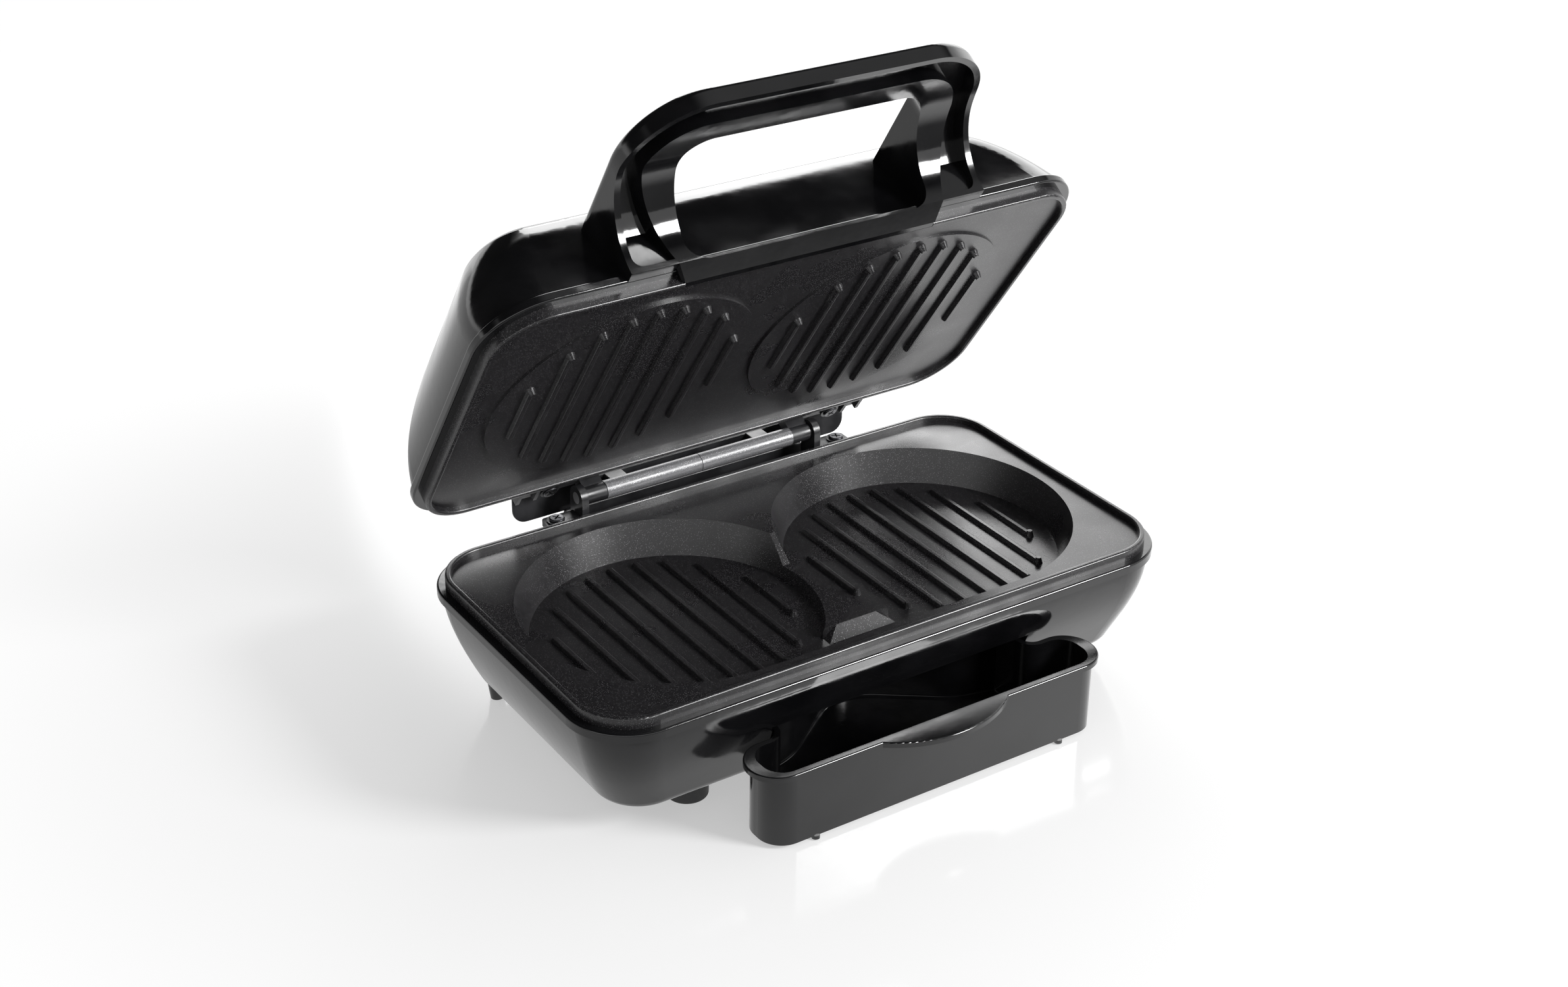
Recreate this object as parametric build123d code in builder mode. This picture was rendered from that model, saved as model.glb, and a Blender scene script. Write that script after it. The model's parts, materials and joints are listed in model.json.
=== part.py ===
from build123d import *
import os
from math import cos, hypot, radians, sin, sqrt

# Contact grill with two round wells, a lid on a floating hinge and a drip tray.
# Millimetres, +X to the right, +Y to the hinge, +Z up.
# The origin is on the table, under the middle of the lower plate.

# Plates: outline, rim and land
plate_width = 252.9
plate_depth = 138.2
plate_corner = 21.9
rim_height = 57.0
rim_width = 2.3
recess_depth = 2.5
rim_wall = 4.4
rim_round = 0.8
spigot_inset = 4.3
spigot_depth = 0.8
closed_gap = 0.5

# Wells of the lower plate
well_spacing = 114.8
well_centre_y = -0.6
well_radius = 60.1
well_floor_radius = 55.0
well_floor_depth = 16.4
casting = 2.6
ridge_depth = 12.0
ridge_front_y = -37.3
ridge_back_y = 10.0
saddle_back_y = 20.5
ridge_half_width = 15.0
ridge_top_half = 9.0
channel_floor_y = -42.0
drain_y = -50.0
drain_radius = 5.0
spout_wall = 2.2
spout_length = 4.6

# Ribs and studs, alike in both plates
rib_pitch = 10.7
rib_count = 9
rib_reach_x = 45.3
rib_reach_y = 50.0
rib_foot = 3.0
rib_height = 1.6
rib_taper = 17.0
rib_round = 0.5
stud_radius = 1.8
stud_height = 1.0

# Raised discs of the upper plate
disc_radius = 55.2
disc_height = 1.0

# Base housing: flange and wall sections as (depth under the rim, half width, half depth, corner)
flange_reach = 3.3
flange_height = 3.6
flange_round = 0.8
base_bottom_depth = 46.9
base_sections = [
    (8.0, 127.6, 70.3, 22.0),
    (20.8, 125.1, 69.4, 21.0),
    (34.0, 120.8, 64.8, 19.5),
    (base_bottom_depth, 114.8, 59.9, 17.6),
]
base_edge_radius = 6.8
wall = 2.5

# Lid housing: flange and wall sections as (height over the rim, half width, half depth, corner)
lid_flange_reach = 3.6
lid_flange_height = 3.5
lid_top_height = 49.5
lid_sections = [
    (8.4, 128.4, 71.0, 23.0),
    (22.6, 125.8, 64.9, 23.0),
    (36.0, 118.5, 59.7, 22.0),
    (lid_top_height, 108.3, 50.3, 20.0),
]
lid_edge_radius = 12.0

# Hinge
open_angle = 54.6
pin_y = 75.5
pin_drop = 3.5
float_travel = 7.8
pin_radius = 2.5
pin_clearance = 0.05
sleeve_radius = 3.75
sleeve_end = 44.3
sleeve_split = 0.3
knuckle_radius = 3.5
knuckle_start = 44.5
knuckle_end = 53.5
link_start = 54.0
link_thickness = 3.0
link_radius = 5.0
link_length = 30.0
link_foot_height = 6.0
link_foot_reach = 2.4
slide_clearance = 0.25
lug_x = 67.0
lug_y = 73.4
lug_radius = 4.1
lug_head_radius = 3.1
lug_head_height = 1.0
lid_bracket_end = 82.0

# Drip tray
tray_rim_depth = 25.0
tray_height = 30.0
tray_front_y = -95.1
tray_half_width = 77.8
tray_lobe_back_y = -71.0
tray_lobe_radius = 12.0
tray_neck_half = 57.0
tray_neck_radius = 5.0
tray_corner_y = -53.4
tray_corner_radius = 2.5
tray_flare = (38.1, -48.7)
tray_flare_radius = 30.0
tray_bell_tip_y = -21.0
tray_bell_radius = 24.0
tray_wall = 1.9
tray_rim_overhang = 0.7
tray_side_overhang = 2.6
tray_rim_height = 2.2
tray_rim_round = 0.6
tray_floor_thickness = 1.5
tray_floor_round = 1.2
tray_tab_half = 28.5
tray_tab_reach = 9.8
tray_table_gap = 0.5
tray_nub_x = 55.7
tray_nub_radius = 1.6
tray_clearance = 0.4
bay_roof_depth = 22.5
bay_roof = 1.6
bay_wall = 2.0
bay_mouth_half = 58.0

# Handle, in the lid's own directions: y from the plate's middle, z from the lower plate's rim
handle_half = 76.0
handle_front_y = -129.0
handle_corner = 31.0
handle_top_front = 41.0
handle_top_back = 38.5
handle_bar_low = 32.0
handle_arch_y = -104.0
handle_arch_radius = 27.0
handle_foot_y = -77.0
handle_foot_z = 5.0
handle_edge = 4.0
grip_half = 52.0
grip_front_y = -108.0
grip_corner = 13.0
liner_half = 66.0
liner_front_y = -117.0
liner_corner = 22.0
liner_foot_half = 57.0
liner_foot_round = 2.5
opening_low = 4.6
opening_corner = 8.0
liner_thickness = 1.6
liner_bar_half = 53.5
liner_bar_y = -67.6
liner_bar_z = 0.5
liner_step = 0.6
liner_lap = 1.2
handle_rim = 2.5
handle_trough_depth = 6.0
handle_trough_back_y = -75.0
handle_trough_low = 7.0
handle_trough_corner = 4.0
handle_back_y = -50.0

# Feet
front_foot_x = 79.7
front_foot_y = -44.8
front_foot_radius = 8.0
foot_stem_radius = 3.0
rear_foot_x = 108.6
rear_foot_y = 49.6
rear_foot_tip = 2.6
rear_foot_top = 4.4

# Heating elements, reflectors and inner parts
element_radius = 3.2
element_half_x = 90.0
element_front_y = -19.5
element_back_y = 30.0
element_bend = 12.0
element_tail_x = 10.0
element_tail_y = 46.0
element_gap = 0.1
reflector_boss_x = (30.0, 78.0)
reflector_boss_y = 3.0
reflector_boss_radius = 3.5
reflector_boss_height = 8.5
reflector_thickness = 0.8
reflector_half_x = 100.0
reflector_front_y = -22.8
reflector_back_y = 34.0
screw_radius = 1.6
screw_head_radius = 3.2
screw_head_height = 1.8
plate_screw_x = 100.0
plate_screw_y = 52.0
plate_screw_radius = 1.9
plate_boss_radius = 4.2
plate_boss_end = 20.0

# Cord gland
gland_z = 21.0
gland_radius = 5.0
gland_flange_radius = 7.5
gland_bore_radius = 3.4
gland_pad_y = 68.0

# Indicator lamps on the lid
lamp_spacing = 16.0
lamp_y = 34.0
lamp_radius = 4.0

# Screw grips, bosses of the lid and small inner parts
plate_screw_grip = 12.0
reflector_screw_grip = 6.4
lid_stud_x = 88.0
lid_stud_y = 40.0
lid_stud_length = 16.0
upper_boss_height = 12.0
lug_boss_length = 16.0
lug_screw_length = 12.0
thermostat_y = -4.0
thermostat_radius = 8.0
thermostat_height = 4.6
thermostat_gap = 0.2
thermostat_pin = 3.5
thermostat_pin_length = 3.0
fuse_x = 54.0
fuse_y = -8.0
fuse_length = 12.0
fuse_radius = 2.0
fuse_lead = 0.6
vent_y = 22.0
vent_pitch = 9.0
vent_count = 11
vent_length = 22.0
vent_width = 3.0
bay_mouth_depth = 20.0
gland_pad_depth = 9.0

# Hinge guide of the base and bracket of the lid
guide_inner = 51.0
guide_outer = 60.0
guide_front_y = 62.0
guide_back_y = 83.0
guide_top_depth = 9.0
guide_low_depth = 40.0
tube_notch_y = 71.3
lug_plate = 2.4
lug_ring = 0.6
lug_plate_front_y = 69.6
lug_plate_back_y = 78.0
lug_plate_end = 72.0
bracket_low = 2.8
bracket_back_y = 76.0
bracket_rib = 1.6
terminal_x = 36.0
terminal_y = 44.0
terminal_size = (22.0, 12.0, 9.0)

# Cover behind the hinge tube
cover_front_y = 70.8
cover_back_y = 86.4
cover_low = 44.0
cover_top = 51.5
cover_wall = 2.0
cover_round = 0.8
cover_lip_half = 57.0

# Places worked out from the sizes above
pin_z_shut = rim_height - pin_drop
pin_z = pin_z_shut + float_travel
angle = radians(open_angle)
lid_origin_y = pin_y - pin_y * cos(angle) + pin_drop * sin(angle)
lid_origin_z = pin_z + pin_y * sin(angle) + pin_drop * cos(angle)
LID = Plane(origin=(0, lid_origin_y, lid_origin_z), x_dir=(1, 0, 0), z_dir=(0, sin(angle), cos(angle)))
LID_SIDE = Plane(origin=LID.origin, x_dir=LID.y_dir, z_dir=(1, 0, 0))
LID_FRONT = Plane(origin=LID.origin, x_dir=(1, 0, 0), z_dir=-LID.y_dir)
RIM = Plane.XY.offset(rim_height)
RIM_SIDE = Plane(origin=(0, 0, rim_height), x_dir=(0, 1, 0), z_dir=(1, 0, 0))
well_x = well_spacing / 2
base_bottom = rim_height - base_bottom_depth
flange_half_width = plate_width / 2 + flange_reach
flange_half_depth = plate_depth / 2 + flange_reach
lid_flange_low = closed_gap + rim_wall
spigot_width = plate_width - 2 * spigot_inset
spigot_depth_y = plate_depth - 2 * spigot_inset
spigot_corner = plate_corner - spigot_inset
opening_gap = 0.3
liner_tongue_reach = plate_depth / 2 + liner_bar_y + opening_gap
guide_low = rim_height - guide_low_depth
reflector_places = [(side * x, reflector_boss_y) for side in (-1, 1) for x in reflector_boss_x]
link_end = link_start + link_thickness
bell_slope = hypot(tray_flare[0], tray_bell_tip_y - tray_flare[1]) / tray_flare[0]
tray_back_y = tray_bell_tip_y - tray_bell_radius * (bell_slope - 1)

os.makedirs("parts", exist_ok=True)


def save(part, name):
    """Label a finished piece and write it under its own name."""
    part.label = name
    export_step(part, "parts/" + name + ".step")


def tapered_block(sections, up, plane, inset, end_lift=0.0):
    """Smooth block through rounded rectangles; up is 1 for heights and -1 for depths."""
    last = len(sections) - 1
    with BuildPart() as block:
        for index, (distance, half_width, half_depth, corner) in enumerate(sections):
            lift = end_lift if index == last else 0.0
            with BuildSketch(plane.offset(up * (distance - lift))):
                RectangleRounded(2 * (half_width - inset), 2 * (half_depth - inset), corner - inset)
        loft()
    return block.part


def lid_height(shape):
    """Height of a shape's centre along the lid's own upward direction."""
    return shape.center().dot(LID.z_dir)


def rib_places():
    """Offset from a well's middle and half length of each rib."""
    places = []
    for index in range(rib_count):
        across = (index - (rib_count - 1) / 2) * rib_pitch
        places.append((across, rib_reach_y * sqrt(1 - (across / rib_reach_x) ** 2)))
    return places


def rib_bar(plane, root, up, x, half_length):
    """One rib with sloping sides and a rounded top."""
    with BuildPart() as bar:
        with BuildSketch(plane.offset(root)):
            with Locations((x, well_centre_y)):
                Rectangle(rib_foot, 2 * half_length)
        extrude(amount=up * rib_height, taper=rib_taper)
        top = bar.faces().sort_by(lambda face: up * face.center().dot(plane.z_dir))[-1]
        fillet(top.edges(), rib_round)
    return bar.part


def rib_block(plane, root, up):
    """All ribs and studs of one plate, standing on the height root and rising along up."""
    with BuildPart() as ribs:
        for side in (-1, 1):
            for across, half_length in rib_places():
                x = side * well_x + across
                add(rib_bar(plane, root, up, x, half_length))
                with BuildSketch(plane.offset(root)):
                    with Locations((x, well_centre_y - half_length)):
                        Circle(stud_radius)
                extrude(amount=up * (rib_height + stud_height), taper=rib_taper)
    return ribs.part


def element_tube(plane, height):
    """Tubular heating element: a loop under both wells with its two tails at the back."""
    with BuildPart() as tube:
        with BuildLine(plane.offset(height)) as route:
            FilletPolyline(
                (-element_tail_x, element_tail_y),
                (-element_tail_x, element_back_y),
                (-element_half_x, element_back_y),
                (-element_half_x, element_front_y),
                (element_half_x, element_front_y),
                (element_half_x, element_back_y),
                (element_tail_x, element_back_y),
                (element_tail_x, element_tail_y),
                radius=element_bend,
            )
        with BuildSketch(Plane(origin=route.line @ 0, z_dir=route.line % 0)):
            Circle(element_radius)
        sweep()
    return tube.part


def reflector_plate(plane, height, up):
    """Sheet that throws the heat back, with its screw holes."""
    middle_y = (reflector_front_y + reflector_back_y) / 2
    with BuildPart() as sheet:
        with BuildSketch(plane.offset(height)):
            with Locations((0, middle_y)):
                RectangleRounded(2 * reflector_half_x, reflector_back_y - reflector_front_y, 12)
            with Locations(*reflector_places):
                Circle(screw_radius + 0.3, mode=Mode.SUBTRACT)
        extrude(amount=up * reflector_thickness)
    return sheet.part


def reflector_screws(plane, height, up):
    """Pan-headed screws that hold a reflector to the plate's bosses."""
    with BuildPart() as screws:
        with BuildSketch(plane.offset(height + up * reflector_thickness)):
            with Locations(*reflector_places):
                Circle(screw_head_radius)
        extrude(amount=up * screw_head_height)
        with BuildSketch(plane.offset(height + up * reflector_thickness)):
            with Locations(*reflector_places):
                Circle(screw_radius)
        extrude(amount=-up * (reflector_thickness + reflector_screw_grip))
    return screws.part


# Tray outline, shared by the tray and its bay
def tray_sketch(inset, narrowing=0.0):
    """Plan of the drip tray: two front lobes and a bell-shaped back."""
    half_width = tray_half_width - narrowing
    right_side = [
        (half_width, tray_front_y),
        (half_width, tray_lobe_back_y),
        (tray_neck_half, tray_lobe_back_y),
        (tray_neck_half, tray_corner_y),
        tray_flare,
    ]
    left_side = [(-x, y) for x, y in reversed(right_side)]
    with BuildSketch() as plan:
        with BuildLine():
            Polyline(*right_side, (0, tray_bell_tip_y), *left_side, close=True)
        make_face()
        lobes = plan.vertices().filter_by(lambda v: abs(v.X) > half_width - 1)
        fillet(lobes, tray_lobe_radius - narrowing / 2)
        necks = plan.vertices().filter_by(lambda v: abs(abs(v.X) - tray_neck_half) < 0.1 and v.Y < -60)
        fillet(necks, tray_neck_radius)
        corners = plan.vertices().filter_by(lambda v: abs(v.Y - tray_corner_y) < 0.1)
        fillet(corners, tray_corner_radius)
        flares = plan.vertices().filter_by(lambda v: abs(v.Y - tray_flare[1]) < 0.1)
        fillet(flares, tray_flare_radius)
        fillet(plan.vertices().group_by(Axis.Y)[-1], tray_bell_radius)
        if inset:
            offset(amount=-inset)
    return plan.sketch


# Lower plate
well_floor = -well_floor_depth
trough_front_top = well_centre_y - well_radius
trough_front_floor = well_centre_y - well_floor_radius
well_wall = well_floor_depth - recess_depth
with BuildPart() as well_space:
    with Locations(*[(side * well_x, well_centre_y, rim_height + well_floor) for side in (-1, 1)]):
        Cone(well_floor_radius, well_radius, well_wall, align=(Align.CENTER, Align.CENTER, Align.MIN))
    with BuildSketch(RIM_SIDE.offset(-well_x)):
        with BuildLine():
            Polyline(
                (trough_front_top, -recess_depth),
                (trough_front_floor, well_floor),
                (channel_floor_y, well_floor),
                (ridge_front_y, -ridge_depth),
                (ridge_back_y, -ridge_depth),
                (saddle_back_y, -recess_depth),
                close=True,
            )
        make_face()
    extrude(amount=well_spacing)
    for side in (-1, 1):
        with BuildSketch(RIM_SIDE.offset(side * ridge_half_width)):
            with BuildLine():
                Polyline(
                    (trough_front_top, -recess_depth),
                    (trough_front_floor, well_floor),
                    (ridge_front_y + 3, well_floor),
                    (ridge_front_y + 3, -recess_depth),
                    close=True,
                )
            make_face()
        extrude(amount=side * (well_x - ridge_half_width))
        with BuildSketch(Plane.XZ.offset(-ridge_front_y)):
            with BuildLine():
                Polyline(
                    (side * ridge_half_width, rim_height + well_floor),
                    (side * ridge_half_width, rim_height - ridge_depth + 0.5),
                    (side * ridge_top_half, rim_height - ridge_depth + 0.5),
                    (side * ridge_top_half, rim_height - ridge_depth),
                    close=True,
                )
            make_face()
        extrude(amount=ridge_front_y - trough_front_floor)

with BuildPart() as well_tubs:
    with Locations(*[(side * well_x, well_centre_y, rim_height + well_floor - casting) for side in (-1, 1)]):
        Cone(
            well_floor_radius + casting,
            well_radius + casting,
            well_wall,
            align=(Align.CENTER, Align.CENTER, Align.MIN),
        )
    with BuildSketch(RIM_SIDE.offset(-well_x)):
        with BuildLine():
            Polyline(
                (trough_front_top - casting, -recess_depth - casting),
                (trough_front_floor - casting, well_floor - casting),
                (channel_floor_y + 1, well_floor - casting),
                (ridge_front_y + 1, -ridge_depth - casting),
                (ridge_back_y - 1, -ridge_depth - casting),
                (saddle_back_y - 1, -recess_depth - casting),
                close=True,
            )
        make_face()
    extrude(amount=well_spacing)

with BuildPart() as lower_plate:
    with BuildSketch(RIM):
        RectangleRounded(plate_width, plate_depth, plate_corner)
    extrude(amount=-rim_wall)
    with BuildSketch(RIM.offset(-rim_wall)):
        RectangleRounded(spigot_width, spigot_depth_y, spigot_corner)
    extrude(amount=-spigot_depth)
    with BuildSketch(RIM.offset(-rim_wall)):
        with GridLocations(2 * plate_screw_x, 2 * plate_screw_y, 2, 2):
            Circle(plate_boss_radius)
    extrude(amount=rim_wall - plate_boss_end)
    with BuildSketch(RIM.offset(well_floor)):
        with Locations(*reflector_places):
            Circle(reflector_boss_radius)
    extrude(amount=-casting - reflector_boss_height)
    with BuildSketch(RIM.offset(well_floor)):
        with Locations((0, drain_y)):
            Circle(drain_radius + spout_wall)
    extrude(amount=-casting - spout_length)
    add(well_tubs.part)
    with BuildSketch(RIM):
        RectangleRounded(plate_width - 2 * rim_width, plate_depth - 2 * rim_width, plate_corner - rim_width)
    extrude(amount=-recess_depth, mode=Mode.SUBTRACT)
    fillet(lower_plate.edges().group_by(Axis.Z)[-1], rim_round)
    add(well_space.part, mode=Mode.SUBTRACT)
    with BuildSketch(RIM.offset(well_floor)):
        with Locations((0, drain_y)):
            Circle(drain_radius)
    extrude(amount=-casting - spout_length, mode=Mode.SUBTRACT)
    with BuildSketch(RIM.offset(-plate_boss_end)):
        with GridLocations(2 * plate_screw_x, 2 * plate_screw_y, 2, 2):
            Circle(plate_screw_radius)
    extrude(amount=plate_screw_grip, mode=Mode.SUBTRACT)
    with BuildSketch(RIM.offset(well_floor - casting - reflector_boss_height)):
        with Locations(*reflector_places):
            Circle(screw_radius)
    extrude(amount=reflector_screw_grip, mode=Mode.SUBTRACT)
    add(rib_block(RIM, well_floor, 1))
save(lower_plate.part, "lower_plate")

# Upper plate, face down over the lower one when the lid is shut
upper_face = closed_gap
upper_land = upper_face + recess_depth
upper_back = upper_face + rim_wall
with BuildPart() as upper_plate:
    with BuildSketch(LID.offset(upper_face)):
        RectangleRounded(plate_width, plate_depth, plate_corner)
    extrude(amount=rim_wall)
    with BuildSketch(LID.offset(upper_back)):
        RectangleRounded(spigot_width, spigot_depth_y, spigot_corner)
    extrude(amount=spigot_depth)
    with BuildSketch(LID.offset(upper_back)):
        with GridLocations(2 * lid_stud_x, 2 * lid_stud_y, 2, 2):
            Circle(plate_boss_radius)
    extrude(amount=upper_boss_height)
    with BuildSketch(LID.offset(upper_back)):
        with Locations(*reflector_places):
            Circle(reflector_boss_radius)
    extrude(amount=spigot_depth + reflector_boss_height)
    with BuildSketch(LID.offset(upper_face)):
        RectangleRounded(plate_width - 2 * rim_width, plate_depth - 2 * rim_width, plate_corner - rim_width)
    extrude(amount=recess_depth, mode=Mode.SUBTRACT)
    face_edges = [edge for edge in upper_plate.edges() if lid_height(edge) < LID.origin.dot(LID.z_dir) + upper_face + 0.1]
    fillet(face_edges, rim_round)
    with BuildSketch(LID.offset(upper_land)):
        with Locations((-well_x, well_centre_y), (well_x, well_centre_y)):
            Circle(disc_radius)
    extrude(amount=-disc_height)
    with BuildSketch(LID.offset(upper_face)):
        with Locations((0, -plate_depth / 2)):
            Rectangle(2 * (liner_bar_half + opening_gap), 2 * liner_tongue_reach)
    extrude(amount=liner_thickness + opening_gap, mode=Mode.SUBTRACT)
    with BuildSketch(LID.offset(upper_back + upper_boss_height)):
        with GridLocations(2 * lid_stud_x, 2 * lid_stud_y, 2, 2):
            Circle(plate_screw_radius)
    extrude(amount=-lid_stud_length / 2, mode=Mode.SUBTRACT)
    with BuildSketch(LID.offset(upper_back + spigot_depth + reflector_boss_height)):
        with Locations(*reflector_places):
            Circle(screw_radius)
    extrude(amount=-reflector_screw_grip, mode=Mode.SUBTRACT)
    add(rib_block(LID, upper_land - disc_height, -1))
save(upper_plate.part, "upper_plate")

# Heating elements and reflectors
lower_element_z = well_floor - casting - element_gap - element_radius
upper_element_z = upper_back + spigot_depth + element_gap + element_radius
save(element_tube(RIM, lower_element_z), "lower_heating_element")
save(element_tube(LID, upper_element_z), "upper_heating_element")
lower_reflector_z = well_floor - casting - reflector_boss_height
upper_reflector_z = upper_back + spigot_depth + reflector_boss_height
save(reflector_plate(RIM, lower_reflector_z, -1), "lower_reflector")
save(reflector_plate(LID, upper_reflector_z, 1), "upper_reflector")
save(reflector_screws(RIM, lower_reflector_z, -1), "lower_reflector_screws")
save(reflector_screws(LID, upper_reflector_z, 1), "upper_reflector_screws")

# Thermostat and thermal fuse under the floor of the lower plate
floor_under = well_floor - casting
with BuildPart() as thermostat:
    with BuildSketch(RIM.offset(floor_under - thermostat_gap)):
        with Locations((0, thermostat_y)):
            Circle(thermostat_radius)
    extrude(amount=-thermostat_height)
    with BuildSketch(RIM.offset(floor_under - thermostat_gap - thermostat_height)):
        with Locations((-thermostat_pin, thermostat_y), (thermostat_pin, thermostat_y)):
            Rectangle(1, 4)
    extrude(amount=-thermostat_pin_length)
save(thermostat.part, "thermostat")

with BuildPart() as thermal_fuse:
    with BuildSketch(Plane.YZ.offset(fuse_x - fuse_length / 2)):
        with Locations((fuse_y, rim_height + floor_under - thermostat_gap - fuse_radius)):
            Circle(fuse_radius)
    extrude(amount=fuse_length)
    with BuildSketch(Plane.YZ.offset(fuse_x - fuse_length / 2 - 4)):
        with Locations((fuse_y, rim_height + floor_under - thermostat_gap - fuse_radius)):
            Circle(fuse_lead)
    extrude(amount=fuse_length + 8)
save(thermal_fuse.part, "thermal_fuse")

# Base housing: shell, flange, tray bay, bosses, hinge guides' windows and rear feet
base_outer = tapered_block(base_sections, -1, RIM, 0)
base_cavity = tapered_block(base_sections, -1, RIM, wall, end_lift=wall)
bay_back_y = tray_back_y + tray_clearance
wall_front = -base_sections[0][2]
with BuildPart() as bay_block:
    with BuildSketch(Plane.XY.offset(base_bottom)):
        with Locations((0, bay_back_y + bay_wall)):
            Rectangle(2 * (bay_mouth_half + bay_wall), bay_back_y + bay_wall - wall_front,
                      align=(Align.CENTER, Align.MAX))
    extrude(amount=base_bottom_depth - bay_roof_depth + bay_roof)
    add(base_outer, mode=Mode.INTERSECT)
with BuildPart() as bay_space:
    with BuildSketch():
        add(tray_sketch(0))
        offset(amount=tray_clearance)
        with Locations((0, tray_lobe_back_y)):
            Rectangle(2 * bay_mouth_half, 2 * bay_mouth_depth)
    extrude(amount=rim_height - bay_roof_depth)
with BuildPart() as base_housing:
    add(base_outer)
    fillet(base_housing.edges().group_by(Axis.Z)[0], base_edge_radius)
    with BuildSketch(RIM.offset(-rim_wall)):
        RectangleRounded(2 * flange_half_width, 2 * flange_half_depth, plate_corner + flange_reach)
    extrude(amount=-flange_height)
    fillet(base_housing.edges().group_by(Axis.Z)[-1], flange_round)
    add(base_cavity, mode=Mode.SUBTRACT)
    with BuildSketch(RIM.offset(-rim_wall)):
        RectangleRounded(spigot_width + 2 * opening_gap, spigot_depth_y + 2 * opening_gap, spigot_corner)
    extrude(amount=-flange_height, mode=Mode.SUBTRACT)
    add(bay_block.part)
    add(bay_space.part, mode=Mode.SUBTRACT)
    with BuildSketch(RIM.offset(-bay_roof_depth)):
        with Locations((0, drain_y)):
            Circle(drain_radius + spout_wall + opening_gap)
    extrude(amount=bay_roof, mode=Mode.SUBTRACT)
    with BuildSketch(Plane.XY.offset(base_bottom)):
        with GridLocations(2 * plate_screw_x, 2 * plate_screw_y, 2, 2):
            Circle(plate_boss_radius)
    extrude(amount=base_bottom_depth - plate_boss_end)
    for side in (-1, 1):
        with BuildSketch(Plane.XY):
            with Locations((side * rear_foot_x, rear_foot_y)):
                Circle(rear_foot_tip)
        with BuildSketch(Plane.XY.offset(base_bottom + wall)):
            with Locations((side * rear_foot_x, rear_foot_y)):
                Circle(rear_foot_top)
        loft()
    with BuildSketch(Plane.XY.offset(base_bottom)):
        with GridLocations(2 * plate_screw_x, 2 * plate_screw_y, 2, 2):
            Circle(plate_screw_radius + opening_gap)
    extrude(amount=base_bottom_depth - plate_boss_end, mode=Mode.SUBTRACT)
    with BuildSketch(Plane.XY.offset(base_bottom)):
        with GridLocations(2 * plate_screw_x, 2 * plate_screw_y, 2, 2):
            Circle(screw_head_radius + opening_gap)
    extrude(amount=screw_head_height + opening_gap, mode=Mode.SUBTRACT)
    with BuildSketch(Plane.XY.offset(base_bottom)):
        with Locations((-front_foot_x, front_foot_y), (front_foot_x, front_foot_y)):
            Circle(foot_stem_radius)
        with Locations((0, vent_y)):
            with GridLocations(vent_pitch, 0, vent_count, 1):
                SlotOverall(vent_length, vent_width, rotation=90)
    extrude(amount=wall, mode=Mode.SUBTRACT)
    with BuildSketch(Plane.XZ.offset(-gland_pad_y)):
        with Locations((0, gland_z)):
            Circle(gland_flange_radius + 1.5)
    extrude(amount=gland_pad_depth)
    with BuildSketch(Plane.XZ.offset(-gland_pad_y)):
        with Locations((0, gland_z)):
            Circle(gland_radius)
    extrude(amount=gland_pad_depth, mode=Mode.SUBTRACT)
    for side in (-1, 1):
        with BuildSketch(Plane.XY.offset(guide_low - opening_gap)):
            with Locations((side * (guide_inner + guide_outer) / 2, guide_front_y - opening_gap)):
                Rectangle(guide_outer - guide_inner + 2 * opening_gap, plate_depth,
                          align=(Align.CENTER, Align.MIN))
        extrude(amount=rim_height, mode=Mode.SUBTRACT)
    with BuildSketch(RIM.offset(-rim_wall)):
        with Locations((0, tube_notch_y)):
            Rectangle(2 * (guide_outer + opening_gap), plate_depth, align=(Align.CENTER, Align.MIN))
    extrude(amount=-flange_height, mode=Mode.SUBTRACT)
    with BuildSketch(RIM.offset(-rim_wall)):
        with Locations((-lug_x, lug_y), (lug_x, lug_y)):
            Circle(lug_radius)
            Rectangle(2 * lug_radius, lug_radius + 1, align=(Align.CENTER, Align.MAX))
    extrude(amount=-lug_boss_length)
    with BuildSketch(RIM.offset(-rim_wall)):
        with Locations((-lug_x, lug_y), (lug_x, lug_y)):
            Circle(screw_radius)
    extrude(amount=-lug_screw_length, mode=Mode.SUBTRACT)
save(base_housing.part, "base_housing")

# Lower plate screws, front feet, gland and terminal block
with BuildPart() as lower_plate_screws:
    with BuildSketch(Plane.XY.offset(base_bottom + opening_gap)):
        with GridLocations(2 * plate_screw_x, 2 * plate_screw_y, 2, 2):
            Circle(screw_head_radius)
    extrude(amount=screw_head_height)
    with BuildSketch(Plane.XY.offset(base_bottom + opening_gap)):
        with GridLocations(2 * plate_screw_x, 2 * plate_screw_y, 2, 2):
            Circle(plate_screw_radius)
    extrude(amount=base_bottom_depth - plate_boss_end + plate_screw_grip - 2)
save(lower_plate_screws.part, "lower_plate_screws")

for name, side in (("front_foot_left", -1), ("front_foot_right", 1)):
    with BuildPart() as front_foot:
        with BuildSketch(Plane.XY):
            with Locations((side * front_foot_x, front_foot_y)):
                Circle(front_foot_radius)
        extrude(amount=base_bottom, taper=-2)
        fillet(front_foot.edges().group_by(Axis.Z)[0], 1)
        with BuildSketch(Plane.XY.offset(base_bottom)):
            with Locations((side * front_foot_x, front_foot_y)):
                Circle(foot_stem_radius)
        extrude(amount=wall + 1)
    save(front_foot.part, name)

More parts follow.
